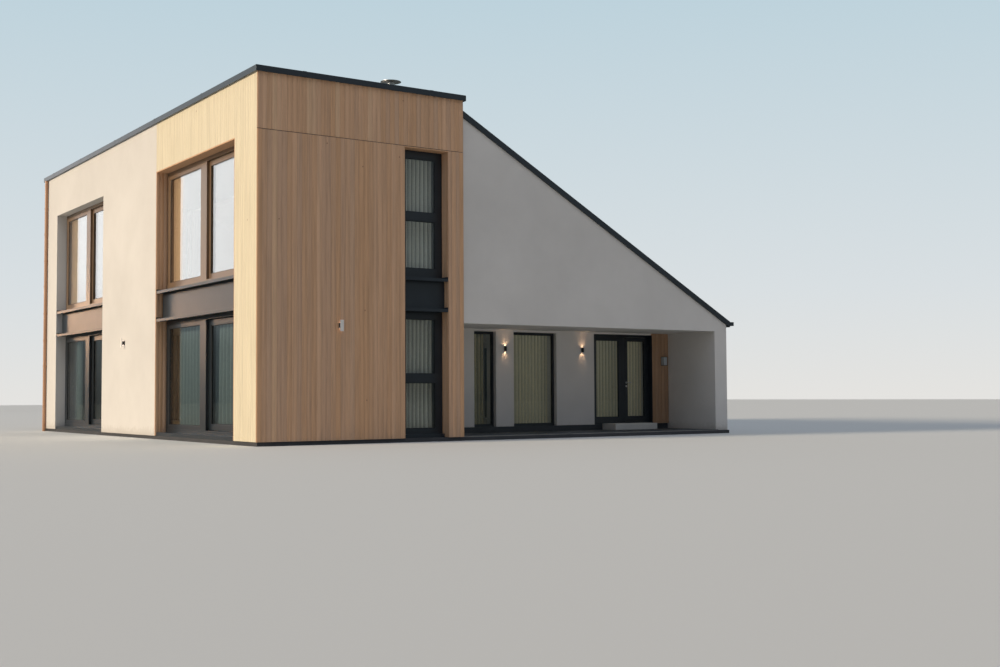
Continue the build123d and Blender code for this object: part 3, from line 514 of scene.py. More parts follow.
for material, nodes in (
    (wall_render, ("left_wall_front_pier", "left_wall_middle_pier", "left_wall_rear_pier",
                   "left_wall_top", "front_wall", "porch_side_wall", "gable_wall", "porch_wall",
                   "entrance_lintel", "porch_wall_end", "porch_ceiling", "right_wall",
                   "rear_wall_left", "rear_wall_right", "roof_beam", "chimney")),
    (pane_glass, ("front_bay_leaf_glass", "rear_bay_leaf_glass", "entrance_leaf_glass")),
    (plinth_coat, ("plinth",)), (membrane, ("flat_roof",)), (plaster, ("pitched_roof",)),
    (lower_oak, ("ground_floor",)), (upper_oak, ("first_floor",)),
):
    for node in nodes:
        give(frame["nodes"][node].data, material)
    print(material.name, len(nodes))

# %% [markdown]
# ## How a piece is kept
#
# Each finished mesh becomes one piece. It rides on a body of the model, so that a door's parts move with the
# door.


def keep(name, mesh, body="house"):
    """Links a finished mesh as one piece that rides on a body."""
    piece = show(name, mesh)
    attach(piece, body)
    return piece


def opened(mesh):
    """A mesh opened for work, with corners that lie on each other made one."""
    shape = bmesh.new()
    shape.from_mesh(mesh)
    bmesh.ops.remove_doubles(shape, verts=shape.verts, dist=1e-5)
    return shape


def closed(shape, mesh):
    """Writes the work back into a mesh."""
    shape.to_mesh(mesh)
    shape.free()
    return mesh


def as_mesh(shape, name, material):
    """Turns finished work into a new mesh with one material."""
    return give(closed(shape, bpy.data.meshes.new(name)), material)


# %% [markdown]
# ## Folded and milled pieces get soft edges
#
# No real edge is perfectly sharp: sheet is bent over a bar and a milled section has its
# corners broken. A bevel of a millimetre or two catches the light as they do. A CAD mesh is
# loose triangles, so a copy in the same place is merged into whole faces and stands for it.

# %% Soft edges
def shade_smooth(shape, angle):
    """Shades faces smoothly, except across edges that bend by more than the angle."""
    for face in shape.faces:
        face.smooth = True
    for line in shape.edges:
        line.smooth = line.calc_face_angle(pi) < radians(angle)


def break_edges(piece, width, angle):
    """A live bevel on the edges that bend by more than the angle."""
    edges = piece.modifiers.new("edges", "BEVEL")
    edges.width, edges.segments = width, 2
    edges.limit_method, edges.angle_limit, edges.harden_normals = "ANGLE", radians(angle), True


def soften(node, material, edge, name):
    """A copy of a node with merged faces and beveled edges, shown in its place."""
    solid = frame["nodes"][node]
    mesh = give(solid.data.copy(), material)
    shape = opened(mesh)
    bmesh.ops.dissolve_limit(shape, angle_limit=radians(0.5), verts=shape.verts, edges=shape.edges)
    shade_smooth(shape, 28)
    piece = keep(name, closed(shape, mesh), solid["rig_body"])
    break_edges(piece, edge, 28)
    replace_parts(piece, node)
    return piece


for node, material, edge, name in (
    ("parapet_coping", folded_sheet, 0.003, "coping_sheet"),
    ("window_ledges", folded_sheet, 0.002, "ledge_sheet"),
    ("metal_panels", folded_sheet, 0.002, "panel_sheet"),
    ("verge_trims", folded_sheet, 0.003, "verge_sheet"),
    ("eaves_gutter", folded_sheet, 0.002, "gutter_sheet"),
    ("bay_lower_frames", frame_coat, 0.0025, "lower_bay_frames"),
    # The upper frames and the shared fixed sashes take the coat with painted sunlight.
    ("bay_upper_frames", sun_painted_frame_coat, 0.0025, "upper_bay_frames"),
    ("bay_fixed_sashes", sun_painted_frame_coat, 0.002, "fixed_sashes"),
    ("front_bay_leaf", frame_coat, 0.002, "front_leaf_frame"),
    ("rear_bay_leaf", frame_coat, 0.002, "rear_leaf_frame"),
    ("slim_window_frames", frame_coat, 0.0025, "slim_frames"),
    ("tall_window_frames", frame_coat, 0.0025, "tall_frames"),
    ("entrance_frame", frame_coat, 0.002, "entrance_frame_coated"),
    ("entrance_leaf", frame_coat, 0.002, "entrance_leaf_coated"),
    ("entrance_step", cast_stone, 0.004, "step_stone"),
    ("porch_base", slate, 0.002, "porch_base_stone"),
    ("roof_covering", folded_sheet, 0.003, "roof_pans"),
    ("downpipes", pipe_coat, 0.001, "rain_pipes"),
    ("flue", steel, 0.001, "flue_pipe"),
    ("flue_cap", steel, 0.001, "flue_cone"),
):
    soften(node, material, edge, name)

# %% [markdown]
# The fixed panes are one node. Two copies of it stand in its place: one keeps only the panes
# high up in the left wall, which have the solar coat, and the other keeps all the rest.

# %% Split the fixed panes
UPSTAIRS, LEFT_WALL_DEPTH = 3.3, 0.45
for name, material, wanted in (("coated_panes", coated_glass, True), ("clear_panes", pane_glass, False)):
    piece = soften("fixed_glass", material, 0.001, name)
    shape = opened(piece.data)
    others = [v for v in shape.verts
              if (v.co.x < LEFT + LEFT_WALL_DEPTH and v.co.z > UPSTAIRS) != wanted]
    bmesh.ops.delete(shape, geom=others, context="VERTS")
    print(name, len(closed(shape, piece.data).polygons) // 6)

# %% [markdown]
# ## Tools for geometry nodes
#
# Three kinds of repeated things follow: boards, paving slabs and roof seams. Each is a tree of
# geometry nodes that ends in the same way, and is run once and kept as a plain mesh, because
# only a plain mesh can be turned and put in its place for good.

# %% Tools for trees
def geometry_tree(name, **kinds):
    """A tree with one geometry output and inputs of these kinds, and the inputs' sockets."""
    tree = bpy.data.node_groups.new(name, "GeometryNodeTree")
    tree.interface.new_socket("Geometry", in_out="OUTPUT", socket_type="NodeSocketGeometry")
    for label, kind in kinds.items():
        tree.interface.new_socket(label.replace("_", " "), in_out="INPUT", socket_type="NodeSocket" + kind)
    return tree, tree.nodes.new("NodeGroupInput").outputs


def set_tone(tree, copies, seed):
    """Stores a random number from 0 to 1 on each copy, as its tone."""
    chance = add(tree, "FunctionNodeRandomValue", Seed=seed)
    return add(tree, "GeometryNodeStoreNamedAttribute", copies, Name="tone", Value=chance, domain="INSTANCE")


def close_tree(tree, copies, material):
    """Ends a tree: makes the copies real, gives them their finish and sends them out."""
    whole = add(tree, "GeometryNodeRealizeInstances", copies)
    dressed = add(tree, "GeometryNodeSetMaterial", whole, Material=material)
    add(tree, "NodeGroupOutput", dressed)
    print(tree.name, len(tree.nodes), "nodes")


def grow(tree, name, values):
    """Runs a tree with these inputs and returns the result as a plain mesh."""
    holder = show(name, bpy.data.meshes.new(name))
    modifier = holder.modifiers.new("grow", "NODES")
    modifier.node_group = tree
    for item in tree.interface.items_tree:
        if item.in_out == "INPUT" and item.name in values:
            modifier[item.identifier] = values[item.name]
    graph = bpy.context.evaluated_depsgraph_get()
    mesh = bpy.data.meshes.new_from_object(holder.evaluated_get(graph), preserve_all_data_layers=True,
                                           depsgraph=graph)
    bpy.data.objects.remove(holder)
    mesh.name = name
    return give(mesh, next(material for material in mesh.materials if material))


# %% [markdown]
# ## The boarding
#
# A boarded wall is one board, repeated. The tree takes the number of boards, their pitch and
# the gap between them, sweeps a chamfered section up to the board's height, sets a copy on
# every point of a line and gives each copy a random tone. Modelling each board by hand would
# fix the count for ever, and a bump map would leave the gaps without depth.

# %% The boarding tree
boarding, given = geometry_tree("boarding", Boards="Int", Pitch="Float", Gap="Float", Depth="Float",
                                Height="Float", Chamfer="Float", Bleach="Float", Seed="Int",
                                Finish="Material")
wide = add(boarding, "Math", given["Pitch"], given["Gap"], operation="SUBTRACT")
section = add(boarding, "GeometryNodeCurvePrimitiveQuadrilateral", wide, given["Depth"])
section = add(boarding, "GeometryNodeFilletCurve", section, Radius=given["Chamfer"])
top = add(boarding, "CombineXYZ", Z=given["Height"])
line = add(boarding, "GeometryNodeCurvePrimitiveLine", End=top)
board = add(boarding, "GeometryNodeCurveToMesh", line, Profile_Curve=section, Fill_Caps=True)
half, back = (add(boarding, "Math", given[size], 0.5, operation="MULTIPLY")
              for size in ("Pitch", "Depth"))
first = add(boarding, "CombineXYZ", half, back)
step = add(boarding, "CombineXYZ", given["Pitch"])
row = add(boarding, "GeometryNodeMeshLine", given["Boards"], Start_Location=first, Offset=step, mode="OFFSET")
many = add(boarding, "GeometryNodeInstanceOnPoints", row, Instance=board)
# Each copy also stores the painted glare, which the material turns into paler boards.
toned = add(boarding, "GeometryNodeStoreNamedAttribute", set_tone(boarding, many, given["Seed"]),
            Name="painted_glare", Value=given["Bleach"], domain="INSTANCE")
close_tree(boarding, toned, given["Finish"])

# %% [markdown]
# ## Boards on the front and on the left
#
# The front boards run up to a level joint at the height of the window heads, and shorter ones
# go on above it. On the left face they run to the coping without a joint. Each panel is grown
# facing the front and then turned, because a mirrored panel would have its faces inside out.

# %% Board panels
PITCH, GAP, BOARD_DEPTH, LINING_DEPTH = 0.1067, 0.002, 0.022, 0.025
BOARD_FOOT, SHADOW = 0.085, 0.012      # the boards' foot, and the gap over the level joint


def board_panel(name, corner, turned, width, high, seed, depth=BOARD_DEPTH, pitch=PITCH, painted_glare=0.0,
                wood=boards):
    """Boards over a width from a corner; they face the front before they are turned."""
    count = max(1, round(width / pitch))
    mesh = grow(boarding, name, {"Boards": count, "Pitch": width / count, "Gap": GAP, "Depth": depth,
                                 "Height": high, "Chamfer": 0.0015, "Bleach": painted_glare, "Seed": seed,
                                 "Finish": wood})
    mesh.transform(Matrix.Translation(corner) @ Matrix.Rotation(radians(turned), 4, "Z"))
    print(name, count, "boards")
    return keep(name, mesh)


lower = JOINT - BOARD_FOOT
front = board_panel("front_boards_wide", place(0, 0, BOARD_FOOT), 0, SLOT[0], lower, 11)
board_panel("front_boards_edge", place(SLOT[1], 0, BOARD_FOOT), 0, STRIP - SLOT[1], lower, 12)
board_panel("front_boards_top", place(0, 0, JOINT + SHADOW), 0, STRIP, BOARD_TOP - JOINT - SHADOW, 13)
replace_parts(front, "front_cladding_lower", "front_cladding_upper")

bay_near, bay_far = FRONT_BAY[0] - LINING_DEPTH, FRONT_BAY[1] + LINING_DEPTH
over_bay = HEAD + LINING_DEPTH
# The left face is sunlit, so its boards get painted glare.
side = board_panel("left_boards_pier", place(0, bay_near, BOARD_FOOT), -90, bay_near - BOARD_DEPTH,
                   BOARD_TOP - BOARD_FOOT, 21, painted_glare=0.9)
board_panel("left_boards_top", place(0, bay_far, over_bay), -90, bay_far - bay_near,
            BOARD_TOP - over_bay, 22, painted_glare=0.9)
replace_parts(side, "left_cladding_pier", "left_cladding_top")

PORCH_BOARDS, PORCH_PANEL = 1.86, 0.55      # they stand 40 mm before the wall, over this width
porch_boards = board_panel("porch_boards", place(DOOR[1], PORCH_BOARDS, PORCH_FOOT), 0, PORCH_PANEL,
                           SOFFIT - PORCH_FOOT, 31, wood=shaded_porch_wood)
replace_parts(porch_boards, "porch_cladding")

# %% [markdown]
# ## Lined reveals
#
# The reveals of the slim window and of the front bay are lined with the same wood. Each
# lining is three narrow boards, one behind the other, and comes from the same tree.

# %% Lined reveals
REVEAL = 0.27
for name, corner, turned, width, seed, pitch in (
    ("slot_lining_left", place(SLOT[0], BOARD_DEPTH, BOARD_FOOT), 90, REVEAL - BOARD_DEPTH, 41, 0.085),
    ("slot_lining_right", place(SLOT[1], REVEAL, BOARD_FOOT), -90, REVEAL - BOARD_DEPTH, 42, 0.085),
    ("bay_lining_far", place(0, FRONT_BAY[1], BOARD_FOOT), 0, REVEAL, 43, 0.09),
    ("bay_lining_near", place(REVEAL, FRONT_BAY[0], BOARD_FOOT), 180, REVEAL, 44, 0.09),
):
    lining = board_panel(name, corner, turned, width, HEAD - BOARD_FOOT, seed, LINING_DEPTH, pitch)
    if name == "bay_lining_far":
        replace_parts(lining, "bay_jamb_lining")

# %% [markdown]
# ## Flat boards, tongues and thin metal
#
# The linings end in a flat head board. Each board hides the tongue of the next, and the
# tongue, 9 mm back, is what one sees in the gaps. These are plain slabs, and so are the metal
# lining of the entrance and the flashing in the level joint. One function makes them all from
# blocks with broken edges, and serves many small fittings further on.

# %% Slabs
def slabs(name, material, sizes, body="house", edge=0.0):
    """One piece made of plain slabs, each from its low corner to its high corner."""
    shape = bmesh.new()
    for low, high in sizes:
        for corner in bmesh.ops.create_cube(shape, size=1.0)["verts"]:
            corner.co = Vector((low[i] + (corner.co[i] + 0.5) * (high[i] - low[i]) for i in range(3)))
    if edge:
        bmesh.ops.bevel(shape, geom=list(shape.edges), offset=edge, segments=2, profile=0.5, affect="EDGES")
    return keep(name, as_mesh(shape, name, material), body)


slabs("head_boards", boards, [
    block((SLOT[0] - LINING_DEPTH, SLOT[1] + LINING_DEPTH), (0.001, REVEAL), (HEAD, JOINT)),
    block((0.001, REVEAL), (bay_near, bay_far), (HEAD, over_bay)),
], edge=0.001)

TONGUE, BACK, EDGE = 0.009, 0.04, 0.03
slabs("board_tongues", boards, [
    block((EDGE, SLOT[0] - 0.001), (TONGUE, BACK), (BOARD_FOOT, JOINT - 0.002)),
    block((SLOT[1] + 0.001, STRIP - 0.002), (TONGUE, BACK), (BOARD_FOOT, JOINT - 0.002)),
    block((EDGE, STRIP - 0.002), (TONGUE, BACK), (JOINT + SHADOW, BOARD_TOP)),
    block((TONGUE, BACK), (EDGE, bay_near - 0.001), (BOARD_FOOT, BOARD_TOP)),
    block((TONGUE, BACK), (bay_near - 0.001, bay_far - 0.001), (over_bay, BOARD_TOP)),
    block((DOOR[1] + 0.002, DOOR[1] + PORCH_PANEL), (PORCH_BOARDS + TONGUE, PORCH_WALL),
          (PORCH_FOOT, SOFFIT)),
])

THIN, DOOR_FACE, DOOR_HEAD = 0.003, 2.0, 2.4995
slabs("entrance_reveal_lining", folded_sheet, [
    block((DOOR[1] - THIN, DOOR[1] - 0.0002), (PORCH_BOARDS + 0.001, DOOR_FACE), (PORCH_FOOT, DOOR_HEAD)),
    block((DOOR[0] + 0.0002, DOOR[0] + THIN), (PORCH_WALL + 0.001, DOOR_FACE), (PORCH_FOOT, DOOR_HEAD)),
    block((DOOR[0] + THIN, DOOR[1] - THIN), (PORCH_WALL + 0.001, DOOR_FACE), (DOOR_HEAD - THIN, DOOR_HEAD)),
], edge=0.0006)
slabs("level_joint_flashing", folded_sheet, [
    block((0.004, STRIP - THIN), (0.012, BACK), (JOINT - 0.0015, JOINT + SHADOW - 0.0005)),
    block((EDGE, STRIP - THIN), (THIN, 0.014), (JOINT - 0.0015, JOINT + 0.0015)),
], edge=0.0003)

# %% [markdown]
# ## Curtain linen
#
# The linen is plain woven and dull, and the valleys of its folds are darkened as painted shade, which the
# attribute "fold" places. The tan cloth upstairs and the cream one by the entrance glow a little by
# themselves. That glow is painted light, standing for the low sun and a hall lamp behind them, and no lamp is
# placed there. The blue-grey curtains of the low bays are darker cloth with deeper valleys, partly their own
# colour and partly painted shade.

# %% Curtain cloth
THREAD = 64.0      # bands in a metre of cloth; they stand for threads and are much coarser


def cloth(name, code, shade_code, valley=0.4, behind="#ffffff", strength=0.0):
    """Plain woven linen; valley is how bright its folds stay inside, as painted shade, and behind is the
    colour of a painted glow of light from inside.
    """
    material, tree, shader = finish(name, Roughness=0.9, Sheen_Weight=0.15, Specular_IOR_Level=0.2,
                                    Emission_Color=behind, Emission_Strength=strength)
    flat = add(tree, "UVMap", uv_map="cloth")
    threads, rows = (add(tree, "TexWave", flat, Scale=THREAD, Distortion=0.6, Detail=1.0,
                         bands_direction=way).outputs["Fac"] for way in ("X", "Y"))
    weave = add(tree, "Math", threads, rows, operation="MULTIPLY")
    slub = add(tree, "TexNoise", flat, Scale=14.0, Detail=5.0)
    share = add(tree, "Math", weave, slub, operation="ADD")
    share = add(tree, "MapRange", share, 0.4, 1.3)
    linen = add(tree, "Mix", share, shade_code, code, data_type="RGBA")
    # Painted shade: the valleys of the folds are darker.
    fold = add(tree, "Attribute", attribute_name="fold").outputs["Fac"]
    lit = add(tree, "MapRange", fold, To_Min=valley)
    shade = add(tree, "VectorMath", linen, lit, operation="SCALE")
    relief = add(tree, "Bump", Height=weave, Distance=0.0005, Strength=0.5)
    plug(shader, Base_Color=shade, Normal=relief)
    return material


pale_linen = cloth("pale_linen", "#e9e6dc", "#d6d1c4")
# Painted light: these two cloths glow as if the sun or a lamp shone through them from behind.
tan_linen = cloth("tan_linen", "#e8d4b4", "#d3bb98", behind="#dcb68c", strength=0.7)
# The low bays' blue-grey cloth is darker, with deeper valleys: partly its own colour, partly painted shade.
shaded_blue_linen = cloth("blue_grey_linen_shaded", "#7e8d91", "#6e7c80", valley=0.12)
cream_linen = cloth("cream_linen", "#f2e4c2", "#e0cfa8")
glow_painted_linen = cloth("glow_painted_linen", "#f2e4c2", "#e0cfa8", behind="#dcdccc", strength=0.035)
print("cloths", sum("linen" in material.name for material in bpy.data.materials))

# %% [markdown]
# ## Curtains
#
# A curtain is a flat cloth gathered into folds, which are even at the heading tape and wander
# as they fall. A cloth simulation would need minutes for fourteen curtains, so each fold line
# is drawn by a sum of waves instead, and the cloth's true width is measured along them.

# %% Hang the curtains
def curtain(name, axis, start, end, middle, foot, head, fold, deep, linen, seed, way):
    """Hangs one pleated cloth along an axis, with folds deep to both sides of a middle plane.

    The attribute "fold" is 1 on the crests that look the given way, and 0 in the valleys."""
    across, rows = end - start, 24
    folds = across / fold
    steps = max(40, round(folds * 14))
    shape = bmesh.new()
    flat_map = shape.loops.layers.uv.new("cloth")
    crest = shape.verts.layers.float.new("fold")
    grid, runs = [], []
    for j in range(rows + 1):
        down = j / rows
        line, run, last = [], [0.0], None
        for i in range(steps + 1):
            t = i / steps
            wander = noise.noise(Vector((t * 4.0, down * 0.8, seed))) * (0.15 + 0.85 * down)
            phase = 2 * pi * folds * t + wander * 1.6
            reach = deep * (1 + 0.25 * noise.noise(Vector((t * 9.0, 3.0 + down, seed + 0.5))))
            offset = middle + reach * (sin(phase) + 0.15 * sin(2 * phase + down))
            slide = 0.05 * fold * sin(2 * phase) * (0.3 + 0.7 * down)
            along = min(max(start + across * t + slide, start), end)
            spot = (along, offset) if axis == "x" else (offset, along)
            corner = place(*spot, head - (head - foot) * down)
            if last is not None:
                run.append(run[-1] + (corner - last).length)
            last = corner
            line.append(shape.verts.new(corner))
            line[-1][crest] = 0.5 + 0.5 * way * sin(phase)
        grid.append(line)
        runs.append(run)
    for j in range(rows):
        for i in range(steps):
            ring = ((j, i), (j + 1, i), (j + 1, i + 1), (j, i + 1))
            face = shape.faces.new([grid[a][b] for a, b in ring])
            face.smooth = True
            for loop, (a, b) in zip(face.loops, ring):
                loop[flat_map].uv = (runs[a][b], (head - foot) * (1 - a / rows))
    piece = keep(name, as_mesh(shape, name, linen))
    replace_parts(piece, "curtains")


LOW, HIGH, LOFT = (0.285, 2.869), (3.205, 6.829), (3.205, 5.45)      # foot and head
SIDE, SIDE_UP, FACE, PORCH, REAR = 0.54, 0.46, 0.535, 2.435, 15.06   # the planes they hang in
WIDE_FOLDS, FINE_FOLDS, LOOSE_FOLDS = (0.2, 0.055), (0.1, 0.03), (0.14, 0.035)
for seed, (name, axis, start, end, plane, heights, folds, linen) in enumerate((
    ("front_bay_curtain", "y", 0.95, 5.62, SIDE, LOW, WIDE_FOLDS, shaded_blue_linen),
    ("front_bay_upper_curtain", "y", 5.4, 6.15, SIDE_UP, HIGH, (0.15, 0.04), tan_linen),
    ("rear_bay_curtain", "y", 13.6, 14.95, SIDE, LOW, WIDE_FOLDS, shaded_blue_linen),
    ("rear_bay_upper_curtain", "y", 13.86, 14.8, SIDE_UP, HIGH, (0.17, 0.04), tan_linen),
    ("slot_curtain", "x", 3.1, 4.38, FACE, LOW, FINE_FOLDS, pale_linen),
    ("slot_upper_curtain", "x", 3.1, 4.38, FACE, HIGH, FINE_FOLDS, pale_linen),
    ("narrow_window_curtain", "x", 6.2, 6.9, PORCH, LOW, FINE_FOLDS, cream_linen),
    ("wide_window_curtain", "x", 7.3, 8.8, PORCH, LOW, FINE_FOLDS, glow_painted_linen),
    ("entrance_curtain", "x", 9.75, 11.85, PORCH, LOW, FINE_FOLDS, glow_painted_linen),
    ("rear_slot_curtain", "x", 3.2, 4.38, REAR, LOW, LOOSE_FOLDS, pale_linen),
    ("rear_slot_upper_curtain", "x", 3.2, 4.38, REAR, HIGH, LOOSE_FOLDS, pale_linen),
    ("rear_window_curtain", "x", 5.7, 7.3, REAR, LOW, LOOSE_FOLDS, pale_linen),
    ("rear_window_curtain_right", "x", 8.3, 9.9, REAR, LOW, LOOSE_FOLDS, pale_linen),
    ("loft_window_curtain", "x", 5.7, 7.3, REAR, LOFT, LOOSE_FOLDS, pale_linen),
), start=1):
    curtain(name, axis, start, end, plane, *heights, *folds, linen, seed, 1 if plane == REAR else -1)

# %% [markdown]
# ## Ends of the ledges
#
# A ledge's sheet is turned up where it meets the reveal, so that rain can't run off its end
# into the wall. The upstand is a thin plate as deep as the ledge and 25 mm high.

# %% Ledge upstands
LEDGE_SPAN, SHEET = (0.012, 0.272), 0.002
upstands = []
for (near, far), tops in ((FRONT_BAY, (3.46, 2.806)), (REAR_BAY, (3.46, 2.806)), (SLOT, (3.495, 2.841))):
    for top in tops:
        for end in ((near, near + SHEET), (far - SHEET, far)):
            spans = (end, LEDGE_SPAN) if (near, far) == SLOT else (LEDGE_SPAN, end)
            upstands.append(block(*spans, (top - 0.01, top + 0.025)))
slabs("ledge_upstands", folded_sheet, upstands, edge=0.0005)
print("upstands", len(upstands))

# %% [markdown]
# ## Handles of the sliding leaves
#
# A lift-and-slide leaf has a long lever on its near stile, inside the room. Turned down it
# lifts the leaf onto its rollers. It stands on a flat plate with the lock's cylinder below.

# %% Slide levers
for name, near, body in (("front_leaf_lever", 1.248, "front_bay_door"),
                         ("rear_leaf_lever", 10.028, "rear_bay_door")):
    slabs(name, steel, [block((x0, x1), (near + y0, near + y1), (z0, z1)) for x0, x1, y0, y1, z0, z1 in (
        (0.396, 0.404, 0.06, 0.09, 0.98, 1.2),            # plate
        (0.404, 0.436, 0.066, 0.084, 1.13, 1.148),        # neck
        (0.43, 0.442, 0.064, 0.086, 0.93, 1.155),         # lever
        (0.404, 0.408, 0.068, 0.082, 1.02, 1.05),         # lock cylinder
    )], body, 0.002)

# %% [markdown]
# ## Gaskets round every pane
#
# A pane is held by a black rubber lip on both sides. The panes are loose parts of the CAD
# glass, so each one's box is read from there, which keeps every lip on its pane.

# %% Panes as boxes
def islands(node):
    """The box of each loose part of a CAD node."""
    shape = opened(frame["nodes"][node].data)
    left, found = set(shape.verts), []
    while left:
        group, ahead = [], [left.pop()]
        while ahead:
            corner = ahead.pop()
            group.append(corner.co.copy())
            for edge in corner.link_edges:
                other = edge.other_vert(corner)
                if other in left:
                    left.discard(other)
                    ahead.append(other)
        found.append([Vector([end(c[i] for c in group) for i in range(3)]) for end in (min, max)])
    shape.free()
    return sorted(found, key=lambda box: (*box[0], *box[1]))


print("fixed panes", len(islands("fixed_glass")))

# %% [markdown]
# A lip is a ring of four thin bars. The thin side of the box tells which way a pane faces.

# %% Gaskets
LIP, RISE = 0.009, 0.004
for node, name in (("fixed_glass", "fixed_pane_gaskets"), ("front_bay_leaf_glass", "front_leaf_gasket"),
                   ("rear_bay_leaf_glass", "rear_leaf_gasket"),
                   ("entrance_leaf_glass", "entrance_leaf_gasket")):
    sizes = []
    for low, high in islands(node):
        thin = 0 if high.x - low.x < high.y - low.y else 1
        wide = 1 - thin
        for face, way in ((low[thin], -1), (high[thin], 1)):
            near, far = sorted((face, face + way * RISE))
            for a0, a1, z0, z1 in (
                (low[wide], low[wide] + LIP, low.z, high.z), (high[wide] - LIP, high[wide], low.z, high.z),
                (low[wide] + LIP, high[wide] - LIP, low.z, low.z + LIP),
                (low[wide] + LIP, high[wide] - LIP, high.z - LIP, high.z),
            ):
                start, end = Vector((0, 0, z0)), Vector((0, 0, z1))
                start[thin], end[thin] = near, far
                start[wide], end[wide] = a0, a1
                sizes.append((start, end))
    slabs(name, gasket_rubber, sizes, frame["nodes"][node]["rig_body"], 0.001)
    print(name, len(sizes) // 8, "panes")

# %% [markdown]
# ## Porch paving
#
# The porch is laid with large slate slabs on a thin bed. Geometry nodes set one slab on every
# point of a grid, smaller than its share by the joint. The joints show the dark bed below.

# %% Paving
paving, given = geometry_tree("paving", Across="Int", Deep="Int", Slab_Width="Float", Slab_Length="Float",
                              Joint="Float", Thickness="Float", Seed="Int", Finish="Material")
width, length = (add(paving, "Math", given[size], given["Joint"], operation="SUBTRACT")
                 for size in ("Slab Width", "Slab Length"))
size = add(paving, "CombineXYZ", width, length, given["Thickness"])
slab = add(paving, "GeometryNodeMeshCube", size)
spans = []
for count, pitch in (("Across", "Slab Width"), ("Deep", "Slab Length")):
    less = add(paving, "Math", given[count], 1.0, operation="SUBTRACT")
    spans.append(add(paving, "Math", less, given[pitch], operation="MULTIPLY"))
grid = add(paving, "GeometryNodeMeshGrid", spans[0], spans[1], given["Across"], given["Deep"])
laid = add(paving, "GeometryNodeInstanceOnPoints", grid, Instance=slab)
close_tree(paving, set_tone(paving, laid, given["Seed"]), given["Finish"])

ACROSS, DEEP = 10, 3
low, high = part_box("porch_floor")
mesh = grow(paving, "porch_slabs", {
    "Across": ACROSS, "Deep": DEEP, "Slab Width": (high.x - low.x) / ACROSS,
    "Slab Length": (high.y - low.y) / DEEP, "Joint": 0.005, "Thickness": high.z - low.z - 0.002,
    "Seed": 5, "Finish": slate})
mesh.transform(Matrix.Translation((low + high) / 2 + Vector((0, 0, 0.001))))
porch_slabs = keep("porch_slabs", mesh)
edges = porch_slabs.modifiers.new("edges", "BEVEL")
edges.width, edges.segments = 0.002, 1
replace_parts(porch_slabs, "porch_floor")
slabs("paving_bed", cast_concrete, [(low, Vector((high.x, high.y, high.z - 0.006)))])
print("porch slabs", len(mesh.polygons) // 6)

# %% [markdown]
# ## Standing seams on the pitched roof
#
# The wing is roofed in long sheet pans whose edges are folded up and over each other. The
# folded seams run down the slope, one every 48 cm. One seam, a thin upright rib, is swept
# down the slope and repeated along the house.

# %% Seams
seams, given = geometry_tree("standing_seams", Seams="Int", Pitch="Float", Run="Vector", Rib_Width="Float",
                             Rib_Height="Float", Finish="Material")
section = add(seams, "GeometryNodeCurvePrimitiveQuadrilateral", given["Rib Width"], given["Rib Height"])
line = add(seams, "GeometryNodeCurvePrimitiveLine", End=given["Run"])
rib = add(seams, "GeometryNodeCurveToMesh", line, Profile_Curve=section, Fill_Caps=True)
step = add(seams, "CombineXYZ", Y=given["Pitch"])
row = add(seams, "GeometryNodeMeshLine", given["Seams"], Offset=step, mode="OFFSET")
many = add(seams, "GeometryNodeInstanceOnPoints", row, Instance=rib)
close_tree(seams, many, given["Finish"])

COVERING, COUNT, TRIM = 0.144, 33, 0.02      # upright depth of the covering, seams, space at the ends
low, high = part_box("roof_covering")
slope = (high.z - low.z - COVERING) / (high.x - low.x)
run = Vector((high.x - low.x - TRIM, 0, -(high.x - low.x - TRIM) * slope))
pitch = (high.y - low.y - 0.12) / (COUNT - 1)
mesh = grow(seams, "roof_seams", {"Seams": COUNT, "Pitch": pitch, "Run": run, "Rib Width": 0.012,
                                  "Rib Height": 0.05, "Finish": folded_sheet})
mesh.transform(Matrix.Translation((low.x + TRIM / 2, low.y + 0.06, high.z - 0.005)))
keep("roof_seams", mesh)
print("seams", COUNT, "pitch", round(pitch, 3))

# %% [markdown]
# ## Joints of the coping, and straps across the gutter
#
# The coping comes in lengths, and a narrow cover strip closes each joint: one part stands
# before its outer face and one lies on its top. Flat straps hold the gutter's lip to the
# eaves every 60 cm.

# %% Joint strips and straps
OUT, TOP, LAP, ACROSS_TOP = 0.05, 7.51, 7.385, 0.43      # overhang, top, foot and inner edge
PROUD, OVER, HALF = 0.0015, 0.002, 0.04                  # how far a strip stands out, laps and reaches
upright, level = (LAP, TOP + PROUD), (TOP - OVER, TOP + PROUD)
strips = []
for x in (1.0, 3.98):
    strips += [block((x - HALF, x + HALF), (-OUT - PROUD, -OUT + OVER), upright),
               block((x - HALF, x + HALF), (-OUT, ACROSS_TOP), level)]
for y in (2.9, 5.9, 8.9, 11.9, 14.6):
    strips += [block(span, (y - HALF, y + HALF), heights) for span, heights in (
        ((-OUT - PROUD, -OUT + OVER), upright), ((-OUT, ACROSS_TOP), level),
        ((STRIP + OUT - OVER, STRIP + OUT + PROUD), upright), ((STRIP - ACROSS_TOP, STRIP + OUT), level))]
slabs("coping_joint_strips", folded_sheet, strips, edge=0.0006)
print("coping joints", len(strips) // 2)

STRAPS, STRAP_HALF, FROM_END = 26, 0.0125, 0.3
low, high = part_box("eaves_gutter")
straps = []
for k in range(STRAPS):
    y = low.y + FROM_END + k * (high.y - low.y - 2 * FROM_END) / (STRAPS - 1)
    straps.append((Vector((low.x + 0.001, y - STRAP_HALF, high.z - 0.008)),
                   Vector((high.x - 0.001, y + STRAP_HALF, high.z - 0.004))))
slabs("gutter_straps", folded_sheet, straps, edge=0.0006)
print("straps", len(straps))

# %% [markdown]
# ## Round solids
#
# Sockets, lamp bodies and the chimney pot are round and hollow. They are drawn as rings of
# corners joined by faces, because a cut through a cylinder would leave ragged faces.

